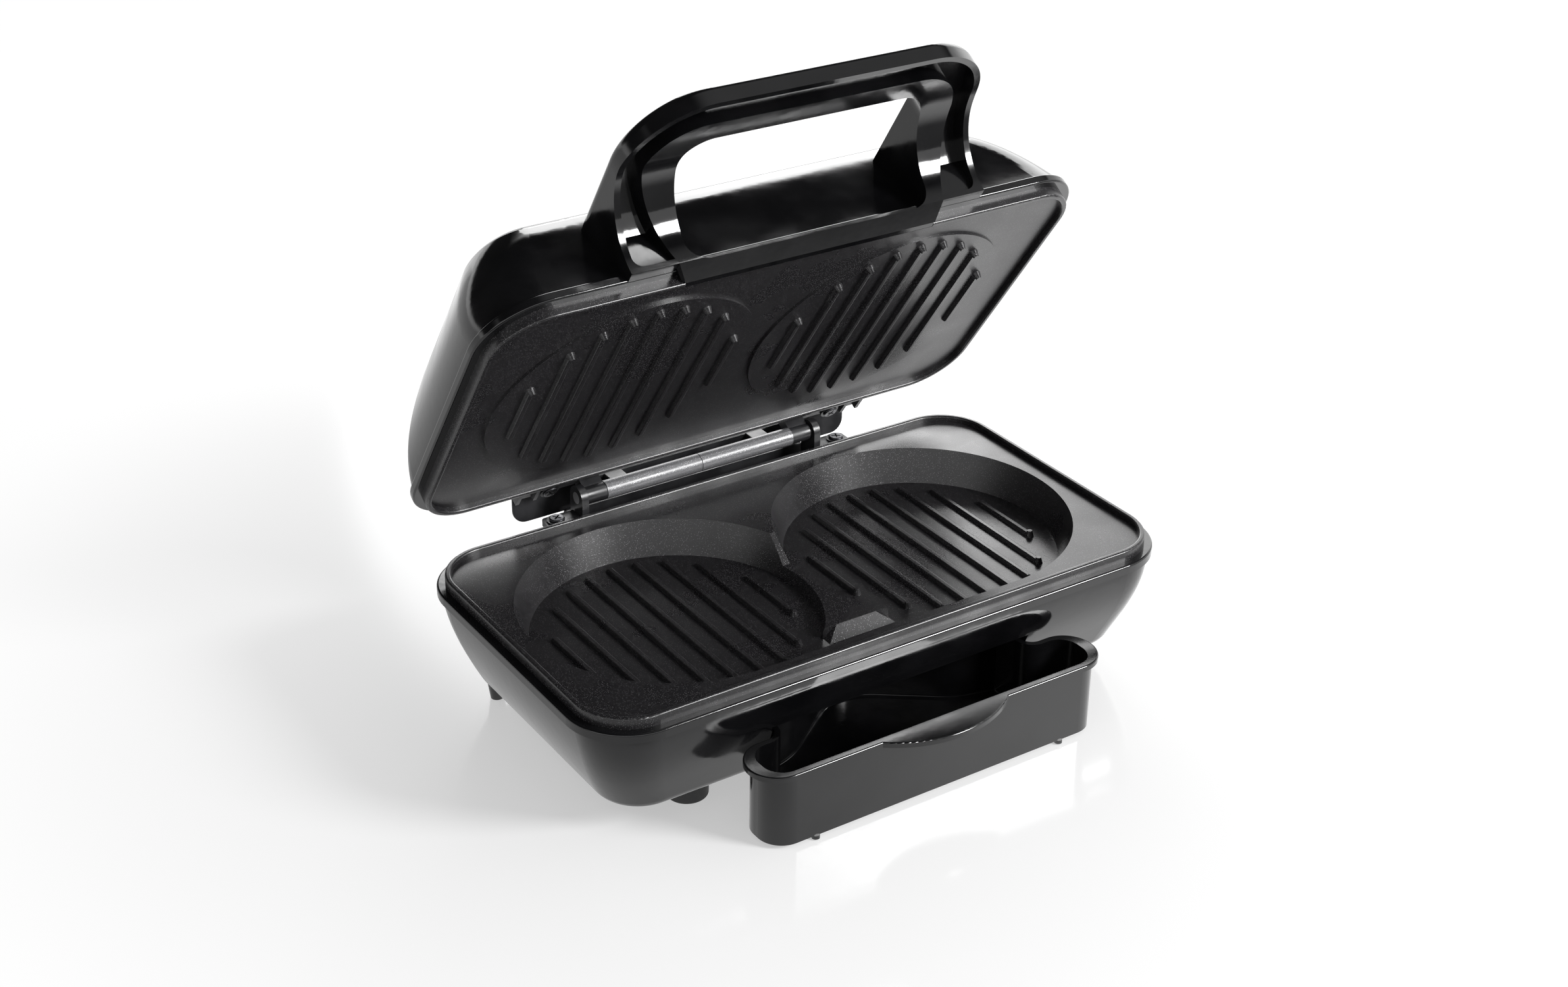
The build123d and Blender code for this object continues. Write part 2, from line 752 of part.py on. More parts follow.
with BuildPart() as cord_gland:
    with BuildSketch(Plane.XZ.offset(-gland_pad_y)):
        with Locations((0, gland_z)):
            Circle(gland_flange_radius)
    extrude(amount=-2)
    with BuildSketch(Plane.XZ.offset(-gland_pad_y)):
        with Locations((0, gland_z)):
            Circle(gland_radius)
    extrude(amount=gland_pad_depth)
    with BuildSketch(Plane.XZ.offset(-gland_pad_y - 2)):
        with Locations((0, gland_z)):
            Circle(gland_bore_radius)
    extrude(amount=gland_pad_depth + 2, mode=Mode.SUBTRACT)
save(cord_gland.part, "cord_gland")

with BuildPart() as terminal_block:
    with BuildSketch(Plane.XY.offset(base_bottom + wall)):
        with Locations((terminal_x, terminal_y)):
            Rectangle(terminal_size[0], terminal_size[1])
    extrude(amount=terminal_size[2])
    with BuildSketch(Plane.XY.offset(base_bottom + wall + terminal_size[2])):
        with Locations((terminal_x, terminal_y)):
            with GridLocations(terminal_size[0] / 3, 0, 3, 1):
                Circle(2)
    extrude(amount=-4, mode=Mode.SUBTRACT)
save(terminal_block.part, "terminal_block")

# Drip tray
tray_rim = rim_height - tray_rim_depth
tray_bottom = tray_rim - tray_height
tray_floor = tray_bottom + tray_floor_thickness
tab_radius = (tray_tab_half ** 2 + tray_tab_reach ** 2) / (2 * tray_tab_reach)
with BuildPart() as tray_body:
    with BuildSketch(Plane.XY.offset(tray_bottom)):
        add(tray_sketch(tray_rim_overhang, tray_side_overhang))
    extrude(amount=tray_height)
with BuildPart() as tray_space:
    with BuildSketch(Plane.XY.offset(tray_floor)):
        add(tray_sketch(tray_rim_overhang + tray_wall, tray_side_overhang))
    extrude(amount=tray_rim - tray_floor)
    fillet(tray_space.edges().group_by(Axis.Z)[0], tray_floor_round)
with BuildPart() as drip_tray:
    with BuildSketch(Plane.XY.offset(tray_rim)):
        with Locations((0, tray_front_y - tray_tab_reach + tab_radius)):
            Circle(tab_radius)
        with Locations((0, tray_front_y + tray_wall)):
            Rectangle(2 * tray_half_width, 2 * tab_radius, align=(Align.CENTER, Align.MIN), mode=Mode.SUBTRACT)
        add(tray_sketch(0))
    extrude(amount=-tray_rim_height)
    fillet(drip_tray.edges().group_by(Axis.Z)[-1], tray_rim_round)
    add(tray_body.part)
    add(tray_space.part, mode=Mode.SUBTRACT)
    nub_y = tray_front_y + tray_rim_overhang + tray_wall / 2
    with BuildSketch(Plane.XY.offset(tray_bottom)):
        with Locations((-tray_nub_x, nub_y), (tray_nub_x, nub_y)):
            Circle(tray_nub_radius)
    extrude(amount=tray_table_gap - tray_bottom)
save(drip_tray.part, "drip_tray")

# Hinge: pin, sleeves and sliding links
with BuildPart() as hinge_pin:
    with BuildSketch(Plane.YZ.offset(-link_end)):
        with Locations((pin_y, pin_z)):
            Circle(pin_radius)
    extrude(amount=2 * link_end)
save(hinge_pin.part, "hinge_pin")

for name, side in (("hinge_sleeve_left", -1), ("hinge_sleeve_right", 1)):
    with BuildPart() as sleeve:
        with BuildSketch(Plane.YZ.offset(side * sleeve_split / 2)):
            with Locations((pin_y, pin_z)):
                Circle(sleeve_radius)
                Circle(pin_radius + pin_clearance, mode=Mode.SUBTRACT)
        extrude(amount=side * (sleeve_end - sleeve_split / 2))
    save(sleeve.part, name)

for name, side in (("hinge_link_left", -1), ("hinge_link_right", 1)):
    with BuildPart() as link:
        with BuildSketch(Plane.YZ.offset(side * link_start)):
            with Locations((pin_y, pin_z)):
                Circle(link_radius)
                Rectangle(2 * link_radius, link_length, align=(Align.CENTER, Align.MAX))
                Circle(pin_radius, mode=Mode.SUBTRACT)
        extrude(amount=side * link_thickness)
        with BuildSketch(Plane.YZ.offset(side * link_start)):
            with Locations((pin_y, pin_z - link_length)):
                Rectangle(2 * link_radius, link_foot_height, align=(Align.CENTER, Align.MIN))
        extrude(amount=-side * link_foot_reach)
    save(link.part, name)

# Base hinge guides with their lugs
guide_top = rim_height - guide_top_depth
guide_stop = pin_z - link_length + link_foot_height + slide_clearance
lug_base = rim_height - rim_wall
for name, side in (("hinge_guide_left", -1), ("hinge_guide_right", 1)):
    with BuildPart() as guide:
        with BuildSketch(Plane.XY.offset(guide_low)):
            with Locations((side * (guide_inner + guide_outer) / 2, (guide_front_y + guide_back_y) / 2)):
                Rectangle(guide_outer - guide_inner, guide_back_y - guide_front_y)
        extrude(amount=guide_top - guide_low)
        web_inner = link_end + slide_clearance
        with BuildSketch(Plane.XY.offset(guide_top)):
            with Locations((side * (web_inner + guide_outer) / 2, lug_plate_front_y)):
                Rectangle(guide_outer - web_inner, lug_plate_back_y - lug_plate_front_y,
                          align=(Align.CENTER, Align.MIN))
        extrude(amount=lug_base + lug_plate - guide_top)
        with BuildSketch(Plane.XY.offset(lug_base)):
            with Locations((side * (web_inner + lug_plate_end) / 2, lug_plate_front_y)):
                RectangleRounded(lug_plate_end - web_inner, lug_plate_back_y - lug_plate_front_y, 2,
                                 align=(Align.CENTER, Align.MIN))
        extrude(amount=lug_plate)
        with BuildSketch(Plane.XY.offset(lug_base)):
            with Locations((side * lug_x, lug_y)):
                Circle(lug_radius)
        extrude(amount=lug_plate + lug_ring)
        with BuildSketch(Plane.XY.offset(lug_base)):
            with Locations((side * lug_x, lug_y)):
                Circle(screw_radius + opening_gap)
        extrude(amount=lug_plate + lug_ring, mode=Mode.SUBTRACT)
        foot_inner = link_start - link_foot_reach - slide_clearance
        with BuildSketch(Plane.XY.offset(guide_top)):
            with Locations((side * (link_start + link_end) / 2, pin_y)):
                Rectangle(link_thickness + 2 * slide_clearance, 2 * (link_radius + slide_clearance))
        extrude(amount=guide_low + wall - guide_top, mode=Mode.SUBTRACT)
        with BuildSketch(Plane.XY.offset(guide_stop)):
            with Locations((side * (foot_inner + link_end) / 2, pin_y)):
                Rectangle(link_end - foot_inner, 2 * (link_radius + slide_clearance))
        extrude(amount=guide_low + wall - guide_stop, mode=Mode.SUBTRACT)
    save(guide.part, name)

# Cover strip behind the hinge tube, a shelf with an upright lip
with BuildPart() as hinge_cover:
    with BuildSketch(Plane.XY.offset(cover_low)):
        with Locations((0, cover_front_y)):
            Rectangle(2 * (guide_inner - opening_gap), cover_back_y - cover_front_y,
                      align=(Align.CENTER, Align.MIN))
    extrude(amount=cover_wall)
    with BuildSketch(Plane.XY.offset(cover_low)):
        with Locations((0, cover_back_y - cover_wall)):
            Rectangle(2 * cover_lip_half, cover_wall, align=(Align.CENTER, Align.MIN))
    extrude(amount=cover_top - cover_low)
    fillet(hinge_cover.edges().group_by(Axis.Z)[-1], cover_round)
save(hinge_cover.part, "hinge_cover")

with BuildPart() as base_hinge_screws:
    with BuildSketch(Plane.XY.offset(lug_base + lug_plate + lug_ring)):
        with Locations((-lug_x, lug_y), (lug_x, lug_y)):
            Circle(lug_head_radius)
    extrude(amount=lug_head_height)
    with BuildSketch(Plane.XY.offset(lug_base + lug_plate + lug_ring)):
        with Locations((-lug_x, lug_y), (lug_x, lug_y)):
            Circle(screw_radius)
    extrude(amount=-lug_plate - lug_ring - lug_screw_length + 1)
save(base_hinge_screws.part, "base_hinge_screws")

# Lid housing: dome, flange, bosses and lamp holes
lid_outer = tapered_block(lid_sections, 1, LID, 0)
lid_cavity = tapered_block(lid_sections, 1, LID, wall, end_lift=wall)
lamp_places = [(-lamp_spacing / 2, lamp_y), (lamp_spacing / 2, lamp_y)]
with BuildPart() as lid_flange:
    with BuildSketch(LID.offset(lid_flange_low)):
        RectangleRounded(
            plate_width + 2 * lid_flange_reach,
            plate_depth + 2 * lid_flange_reach,
            plate_corner + lid_flange_reach,
        )
    extrude(amount=lid_flange_height)
    fillet(lid_flange.faces().sort_by(lid_height)[-1].edges(), flange_round)
    fillet(lid_flange.faces().sort_by(lid_height)[0].edges(), flange_round)
with BuildPart() as lid_shape:
    add(lid_outer)
    fillet(lid_shape.faces().sort_by(lid_height)[-1].edges(), lid_edge_radius)
    add(lid_flange.part)
with BuildPart() as lid_housing:
    add(lid_shape.part)
    add(lid_cavity, mode=Mode.SUBTRACT)
    with BuildSketch(LID.offset(lid_flange_low)):
        RectangleRounded(spigot_width + 2 * opening_gap, spigot_depth_y + 2 * opening_gap, spigot_corner)
    extrude(amount=lid_flange_height, mode=Mode.SUBTRACT)
    with BuildSketch(LID.offset(upper_back + upper_boss_height)):
        with GridLocations(2 * lid_stud_x, 2 * lid_stud_y, 2, 2):
            Circle(plate_boss_radius)
    extrude(amount=lid_top_height - upper_back - upper_boss_height - wall / 2)
    with BuildSketch(LID.offset(upper_back + upper_boss_height)):
        with GridLocations(2 * lid_stud_x, 2 * lid_stud_y, 2, 2):
            Circle(plate_screw_radius)
    extrude(amount=lid_stud_length / 2, mode=Mode.SUBTRACT)
    with BuildSketch(LID.offset(lid_top_height)):
        with Locations(*lamp_places):
            Circle(lamp_radius + opening_gap)
    extrude(amount=-wall, mode=Mode.SUBTRACT)
save(lid_housing.part, "lid_housing")

with BuildPart() as upper_plate_studs:
    with BuildSketch(LID.offset(upper_back + upper_boss_height - lid_stud_length / 2 + 1)):
        with GridLocations(2 * lid_stud_x, 2 * lid_stud_y, 2, 2):
            Circle(plate_screw_radius)
    extrude(amount=lid_stud_length - 2)
save(upper_plate_studs.part, "upper_plate_studs")

for name, place in (("power_lamp_lens", lamp_places[0]), ("ready_lamp_lens", lamp_places[1])):
    with BuildPart() as lens:
        with BuildSketch(LID.offset(lid_top_height - wall)):
            with Locations(place):
                Circle(lamp_radius)
        extrude(amount=wall + 0.8)
        fillet(lens.faces().sort_by(lid_height)[-1].edges(), 0.6)
        with BuildSketch(LID.offset(lid_top_height - wall)):
            with Locations(place):
                Circle(lamp_radius + 1.2)
        extrude(amount=-1.2)
    save(lens.part, name)

# Lid hinge brackets: foot under the flange, lug, and knuckle on the pin
for name, side in (("lid_hinge_bracket_left", -1), ("lid_hinge_bracket_right", 1)):
    with BuildPart() as bracket:
        foot_front = plate_depth / 2 + opening_gap
        with BuildSketch(LID.offset(lid_flange_low)):
            with Locations((side * (knuckle_start + lid_bracket_end) / 2, foot_front)):
                Rectangle(lid_bracket_end - knuckle_start, bracket_back_y - foot_front,
                          align=(Align.CENTER, Align.MIN))
        extrude(amount=bracket_low - lid_flange_low)
        for rib_x in (lid_bracket_end - bracket_rib, lug_x + lug_radius + bracket_rib):
            with BuildSketch(LID.offset(lid_flange_low)):
                with Locations((side * (rib_x + bracket_rib / 2), foot_front)):
                    Rectangle(bracket_rib, bracket_back_y - foot_front, align=(Align.CENTER, Align.MIN))
            extrude(amount=closed_gap + opening_gap - lid_flange_low)
        with BuildSketch(LID.offset(lid_flange_low)):
            with Locations((side * lug_x, lug_y)):
                Circle(lug_radius)
        extrude(amount=closed_gap + lug_head_height - lid_flange_low)
        with BuildSketch(LID_SIDE.offset(side * knuckle_start)):
            with Locations((pin_y, -pin_drop)):
                Circle(knuckle_radius)
                Rectangle(5, pin_drop + lid_flange_low, align=(Align.CENTER, Align.MIN))
        extrude(amount=side * (knuckle_end - knuckle_start))
        with BuildSketch(LID_SIDE.offset(side * knuckle_start)):
            with Locations((pin_y, -pin_drop)):
                Circle(pin_radius + pin_clearance)
        extrude(amount=side * (knuckle_end - knuckle_start), mode=Mode.SUBTRACT)
        with BuildSketch(LID.offset(lid_flange_low)):
            with Locations((side * lug_x, lug_y)):
                Circle(screw_radius)
        extrude(amount=-lid_flange_low, mode=Mode.SUBTRACT)
    save(bracket.part, name)

with BuildPart() as lid_hinge_screws:
    with BuildSketch(LID.offset(closed_gap)):
        with Locations((-lug_x, lug_y), (lug_x, lug_y)):
            Circle(lug_head_radius)
    extrude(amount=lug_head_height)
    with BuildSketch(LID.offset(closed_gap)):
        with Locations((-lug_x, lug_y), (lug_x, lug_y)):
            Circle(screw_radius)
    extrude(amount=lid_flange_low - closed_gap)
save(lid_hinge_screws.part, "lid_hinge_screws")


# Handle: an arched loop cut from its side profile and its plan
def underside_band(low, high, half):
    """Strip along the handle's underside, from low to high inside its skin."""
    with BuildPart() as band:
        with BuildSketch(LID_SIDE.offset(-half)):
            with BuildLine():
                outer = Line((handle_front_y - 2, handle_bar_low + low), (handle_arch_y, handle_bar_low + low))
                arch = RadiusArc(
                    outer @ 1, (handle_foot_y + low, handle_foot_z), handle_arch_radius + low
                )
                foot = Line(arch @ 1, (handle_foot_y + high, handle_foot_z))
                back = RadiusArc(
                    foot @ 1, (handle_arch_y, handle_bar_low + high), -(handle_arch_radius + high)
                )
                Polyline(back @ 1, (handle_front_y - 2, handle_bar_low + high), outer @ 0)
            make_face()
        extrude(amount=2 * half)
    return band.part


def plan_block(half, front_y, corner, back_y):
    """Block with rounded front corners, through the whole height of the handle."""
    with BuildPart() as block:
        with BuildSketch(LID.offset(-5)) as plan:
            with Locations((0, front_y)):
                Rectangle(2 * half, back_y - front_y, align=(Align.CENTER, Align.MIN))
            fillet(plan.vertices().group_by(Axis.Y)[0], corner)
        extrude(amount=lid_top_height + 10)
    return block.part


with BuildPart() as handle_profile:
    with BuildSketch(LID_SIDE.offset(-handle_half)):
        with BuildLine():
            low = Line((handle_front_y, handle_bar_low), (handle_arch_y, handle_bar_low))
            arch = RadiusArc(low @ 1, (handle_foot_y, handle_foot_z), handle_arch_radius)
            Polyline(
                arch @ 1,
                (handle_back_y, handle_foot_z),
                (handle_back_y, handle_top_back),
                (handle_front_y, handle_top_front),
                low @ 0,
            )
        make_face()
    extrude(amount=2 * handle_half)
grip_space = plan_block(grip_half, grip_front_y, grip_corner, handle_back_y + 5)
handle_reach = handle_back_y - handle_front_y
with BuildPart() as liner_outline:
    with BuildSketch(LID_FRONT.offset(-handle_back_y)) as outline:
        with BuildLine():
            Polyline(
                (liner_bar_half, 0),
                (liner_foot_half, handle_foot_z),
                (liner_half, handle_bar_low),
                (liner_half, lid_top_height),
                (-liner_half, lid_top_height),
                (-liner_half, handle_bar_low),
                (-liner_foot_half, handle_foot_z),
                (-liner_bar_half, 0),
                close=True,
            )
        make_face()
        fillet(outline.vertices().filter_by(lambda v: v.Y < handle_foot_z + 1), liner_foot_round)
    extrude(amount=handle_reach)
    add(plan_block(liner_half, liner_front_y, liner_corner, handle_back_y), mode=Mode.INTERSECT)
with BuildPart() as liner_opening:
    with BuildSketch(LID_FRONT.offset(-handle_back_y)):
        with Locations((0, opening_low)):
            RectangleRounded(2 * grip_half, 2 * lid_top_height, opening_corner, align=(Align.CENTER, Align.MIN))
    extrude(amount=handle_reach)
    add(grip_space, mode=Mode.INTERSECT)
trough_half = handle_half - handle_rim
with BuildPart() as trough:
    with BuildSketch(LID_FRONT.offset(-handle_back_y)):
        with Locations((0, handle_trough_low)):
            RectangleRounded(2 * trough_half, 2 * lid_top_height, handle_trough_corner,
                             align=(Align.CENTER, Align.MIN))
    extrude(amount=handle_reach)
    add(underside_band(-0.5, handle_trough_depth, trough_half), mode=Mode.INTERSECT)
    add(
        plan_block(
            trough_half,
            handle_front_y + handle_rim,
            handle_corner - handle_rim,
            handle_trough_back_y,
        ),
        mode=Mode.INTERSECT,
    )
    add(liner_outline.part, mode=Mode.SUBTRACT)

# Liner: a ring in the handle's trough, with a bar below that laps the plate's rim
with BuildPart() as handle_liner:
    add(underside_band(0, liner_thickness, liner_half))
    with BuildSketch(LID_SIDE.offset(-liner_foot_half)):
        with BuildLine():
            Polyline(
                (handle_foot_y, handle_foot_z),
                (-plate_depth / 2 - liner_step, liner_bar_z + opening_gap),
                (-plate_depth / 2 - liner_step, liner_bar_z + opening_gap + liner_thickness),
                (handle_foot_y + liner_thickness, handle_foot_z + liner_lap),
                (handle_foot_y, handle_foot_z + liner_lap),
                close=True,
            )
        make_face()
    extrude(amount=2 * liner_foot_half)
    add(liner_outline.part, mode=Mode.INTERSECT)
    add(liner_opening.part, mode=Mode.SUBTRACT)
    with BuildSketch(LID_SIDE.offset(-liner_bar_half)):
        with BuildLine():
            Polyline(
                (-plate_depth / 2 - liner_step, liner_bar_z + opening_gap),
                (liner_bar_y, liner_bar_z),
                (liner_bar_y, liner_bar_z + liner_thickness),
                (-plate_depth / 2 - liner_step, liner_bar_z + opening_gap + liner_thickness),
                close=True,
            )
        make_face()
    extrude(amount=2 * liner_bar_half)
save(handle_liner.part, "handle_liner")

# Handle shell, hollow on its underside
with BuildPart() as lid_handle:
    add(handle_profile.part)
    add(plan_block(handle_half, handle_front_y, handle_corner, handle_back_y), mode=Mode.INTERSECT)
    fillet(lid_handle.faces().sort_by(lid_height)[-1].edges(), handle_edge)
    add(grip_space, mode=Mode.SUBTRACT)
    add(trough.part, mode=Mode.SUBTRACT)
    add(handle_liner.part, mode=Mode.SUBTRACT)
    add(lid_shape.part, mode=Mode.SUBTRACT)
save(lid_handle.part, "lid_handle")
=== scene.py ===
"""Looks of a contact grill with two round wells, a lid on a floating hinge and a drip tray."""

import json
import logging
import math
from dataclasses import dataclass
from enum import Enum

import bmesh
import bpy
from mathutils import Matrix, Vector

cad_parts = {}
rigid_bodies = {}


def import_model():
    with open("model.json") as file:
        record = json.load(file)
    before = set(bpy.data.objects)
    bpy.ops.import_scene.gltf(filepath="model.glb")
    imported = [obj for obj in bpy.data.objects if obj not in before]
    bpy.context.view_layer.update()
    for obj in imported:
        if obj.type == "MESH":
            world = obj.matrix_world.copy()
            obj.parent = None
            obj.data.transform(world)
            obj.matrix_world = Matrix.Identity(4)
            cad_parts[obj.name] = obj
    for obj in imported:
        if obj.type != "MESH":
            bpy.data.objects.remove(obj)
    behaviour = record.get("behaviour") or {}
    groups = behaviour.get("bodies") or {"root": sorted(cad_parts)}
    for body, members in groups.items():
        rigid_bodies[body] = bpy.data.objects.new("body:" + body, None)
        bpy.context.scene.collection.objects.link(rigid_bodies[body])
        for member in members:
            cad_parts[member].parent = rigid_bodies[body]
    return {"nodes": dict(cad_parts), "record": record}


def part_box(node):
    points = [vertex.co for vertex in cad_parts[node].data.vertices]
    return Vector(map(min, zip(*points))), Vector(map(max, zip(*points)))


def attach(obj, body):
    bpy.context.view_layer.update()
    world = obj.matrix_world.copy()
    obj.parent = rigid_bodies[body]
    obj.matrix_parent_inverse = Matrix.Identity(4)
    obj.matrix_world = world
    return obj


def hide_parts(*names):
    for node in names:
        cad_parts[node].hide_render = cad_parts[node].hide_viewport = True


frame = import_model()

log = logging.getLogger("contact_grill")

Color = tuple[float, float, float]
Point = tuple[float, float, float]
Span = tuple[float, float]
Socket = bpy.types.NodeSocket

WHITE = (1.0, 1.0, 1.0, 1.0)


class Slot(Enum):
    """Material slots of the record."""

    HOUSING = "housing"
    TRAY = "tray"
    PLATE = "plate"
    SLEEVE = "sleeve"
    BRACKET = "bracket"
    STEEL = "steel"
    SCREW = "screw"
    RUBBER = "rubber"
    ELEMENT = "element"
    REFLECTOR = "reflector"
    CERAMIC = "ceramic"
    LENS_RED = "lens_red"
    LENS_GREEN = "lens_green"


class Effect(Enum):
    """Shader groups that several finishes share."""

    SPECKLE = "speckle"
    MOTTLE = "mottle"
    SCRATCH = "scratch"


class Tree:
    """Short calls for building one node tree."""

    def __init__(self, tree: bpy.types.NodeTree) -> None:
        """Start from an empty tree.

        Args:
            tree: the tree to fill.
        """
        self.tree = tree
        tree.nodes.clear()

    def add(self, kind: str, **settings: object) -> bpy.types.Node:
        """Add a node.

        Args:
            kind: Blender's name of the node type.
            settings: properties of the node; a key such as in_Scale sets that input.

        Returns:
            The new node.
        """
        node = self.tree.nodes.new(kind)
        for key, value in settings.items():
            if key.startswith("in_"):
                node.inputs[key[3:].replace("_", " ")].default_value = value
            else:
                setattr(node, key, value)
        return node

    def join(self, source: Socket, target: Socket) -> None:
        """Link two sockets."""
        self.tree.links.new(source, target)

    def math(self, operation: str, first: Socket | float, second: Socket | float) -> Socket:
        """Add a Math node.

        Args:
            operation: Blender's name of the operation.
            first: a socket or a number.
            second: a socket or a number.

        Returns:
            The result's socket.
        """
        node = self.add("ShaderNodeMath", operation=operation)
        for index, value in enumerate((first, second)):
            if isinstance(value, Socket):
                self.join(value, node.inputs[index])
            else:
                node.inputs[index].default_value = value
        return node.outputs[0]

    def spread(self, value: Socket, low: float, high: float,
               new_low: float = 0.0, new_high: float = 1.0) -> Socket:
        """Map a value smoothly from one range to another.

        Args:
            value: the socket to map.
            low: value that gives new_low.
            high: value that gives new_high.
            new_low: result at low.
            new_high: result at high.

        Returns:
            The result's socket.
        """
        node = self.add("ShaderNodeMapRange", interpolation_type="SMOOTHSTEP", in_From_Min=low,
                        in_From_Max=high, in_To_Min=new_low, in_To_Max=new_high)
        self.join(value, node.inputs["Value"])
        return node.outputs["Result"]

    def blend(self, mask: Socket, first: Color, second: Color) -> Socket:
        """Mix two plain colours by a mask.

        Args:
            mask: mask socket.
            first: colour where the mask is 0.
            second: colour where the mask is 1.

        Returns:
            The colour's socket.
        """
        node = self.add("ShaderNodeMix", data_type="RGBA")
        self.join(mask, node.inputs["Factor"])
        node.inputs["A"].default_value = (*first, 1.0)
        node.inputs["B"].default_value = (*second, 1.0)
        return node.outputs["Result"]

    def choose(self, mask: Socket, first: Socket, second: Socket) -> Socket:
        """Mix two shaders by a mask.

        Args:
            mask: mask socket.
            first: shader where the mask is 0.
            second: shader where the mask is 1.

        Returns:
            The mixed shader's socket.
        """
        node = self.add("ShaderNodeMixShader")
        for index, socket in enumerate((mask, first, second)):
            self.join(socket, node.inputs[index])
        return node.outputs[0]

    def axes(self, vector: Socket) -> bpy.types.NodeOutputs:
        """Split a vector.

        Args:
            vector: the socket to split.

        Returns:
            Sockets by the names X, Y and Z.
        """
        node = self.add("ShaderNodeSeparateXYZ")
        self.join(vector, node.inputs["Vector"])
        return node.outputs

    def facing(self, way: Socket, aim: Vector) -> Socket:
        """Compare a direction with an aim.

        Args:
            way: socket of a direction of length 1.
            aim: direction of length 1.

        Returns:
            Socket of the cosine of the angle between them.
        """
        node = self.add("ShaderNodeVectorMath", operation="DOT_PRODUCT")
        node.inputs[1].default_value = aim
        self.join(way, node.inputs[0])
        return node.outputs["Value"]


class GroupTree(Tree):
    """Node tree of one shared shader group, with its inputs and its results."""

    def __init__(self, effect: Effect, numbers: dict[str, float]) -> None:
        """Make the group with a Vector input, number inputs, and the results Mask and Height.

        Args:
            effect: which group it is.
            numbers: names and default values of the number inputs.
        """
        group = bpy.data.node_groups.new(effect.value, "ShaderNodeTree")
        group.interface.new_socket(name="Vector", in_out="INPUT", socket_type="NodeSocketVector")
        for name, value in numbers.items():
            socket = group.interface.new_socket(name=name, in_out="INPUT", socket_type="NodeSocketFloat")
            socket.default_value = value
        for name in ("Mask", "Height"):
            group.interface.new_socket(name=name, in_out="OUTPUT", socket_type="NodeSocketFloat")
        super().__init__(group)
        self.source = self.add("NodeGroupInput").outputs
        self.result = self.add("NodeGroupOutput").inputs


class SharedEffects:
    """Shader groups with named inputs and outputs, each built once."""

    groups: dict[Effect, bpy.types.NodeTree] = {}
    # Grains of the coating: distance from a cell's middle at a grain's rim and core, and their contrast
    grain_rim: float = 0.42
    grain_core: float = 0.18
    grain_contrast: float = 1.8
    # Ground between the grains, its scale as a share of theirs
    ground_scale: float = 0.55
    ground_detail: float = 3.0
    ground_roughness: float = 0.6
    # Broad noise, and the span of it over which the mask rises
    mottle_roughness: float = 0.55
    mottle_edge: Span = (0.3, 0.7)
    # Line noise, and the span of it over which the mask rises
    scratch_detail: float = 2.0
    scratch_roughness: float = 0.5
    scratch_edge: Span = (0.35, 0.65)

    @classmethod
    def speckle(cls) -> None:
        """Build fine bright grains of a sprayed coating, with a grainy relief."""
        tree = GroupTree(Effect.SPECKLE, {"Scale": 2200.0, "Density": 0.3, "Grain": 0.3})
        cells = tree.add("ShaderNodeTexVoronoi", feature="F1")
        tree.join(tree.source["Vector"], cells.inputs["Vector"])
        tree.join(tree.source["Scale"], cells.inputs["Scale"])
        dot = tree.spread(cells.outputs["Distance"], cls.grain_rim, cls.grain_core)
        parts = tree.add("ShaderNodeSeparateColor")
        tree.join(cells.outputs["Color"], parts.inputs["Color"])
        chosen = tree.math("LESS_THAN", parts.outputs["Red"], tree.source["Density"])
        bright = tree.math("POWER", parts.outputs["Green"], cls.grain_contrast)
        mask = tree.math("MULTIPLY", tree.math("MULTIPLY", dot, chosen), bright)
        tree.join(mask, tree.result["Mask"])
        ground = tree.add("ShaderNodeTexNoise", in_Detail=cls.ground_detail,
                          in_Roughness=cls.ground_roughness)
        tree.join(tree.source["Vector"], ground.inputs["Vector"])
        tree.join(tree.math("MULTIPLY", tree.source["Scale"], cls.ground_scale), ground.inputs["Scale"])
        rough = tree.math("MULTIPLY", ground.outputs["Fac"], tree.source["Grain"])
        tree.join(tree.math("ADD", mask, rough), tree.result["Height"])
        cls.groups[Effect.SPECKLE] = tree.tree

    @classmethod
    def mottle(cls) -> None:
        """Build a broad soft change over a surface, such as handling marks and uneven gloss."""
        tree = GroupTree(Effect.MOTTLE, {"Scale": 25.0, "Detail": 3.0})
        noise = tree.add("ShaderNodeTexNoise", in_Roughness=cls.mottle_roughness)
        for name in ("Vector", "Scale", "Detail"):
            tree.join(tree.source[name], noise.inputs[name])
        tree.join(tree.spread(noise.outputs["Fac"], *cls.mottle_edge), tree.result["Mask"])
        tree.join(noise.outputs["Fac"], tree.result["Height"])
        cls.groups[Effect.MOTTLE] = tree.tree

    @classmethod
    def scratch(cls) -> None:
        """Build fine lines along X, such as drawing marks on sheet and wire."""
        tree = GroupTree(Effect.SCRATCH, {"Scale": 900.0, "Stretch": 0.03})
        place = tree.axes(tree.source["Vector"])
        whole = tree.add("ShaderNodeCombineXYZ")
        tree.join(tree.math("MULTIPLY", place["X"], tree.source["Stretch"]), whole.inputs["X"])
        tree.join(place["Y"], whole.inputs["Y"])
        tree.join(place["Z"], whole.inputs["Z"])
        lines = tree.add("ShaderNodeTexNoise", in_Detail=cls.scratch_detail,
                         in_Roughness=cls.scratch_roughness)
        tree.join(whole.outputs["Vector"], lines.inputs["Vector"])
        tree.join(tree.source["Scale"], lines.inputs["Scale"])
        tree.join(tree.spread(lines.outputs["Fac"], *cls.scratch_edge), tree.result["Mask"])
        tree.join(lines.outputs["Fac"], tree.result["Height"])
        cls.groups[Effect.SCRATCH] = tree.tree

    @classmethod
    def build(cls) -> None:
        """Build every shared group."""
        cls.speckle()
        cls.mottle()
        cls.scratch()


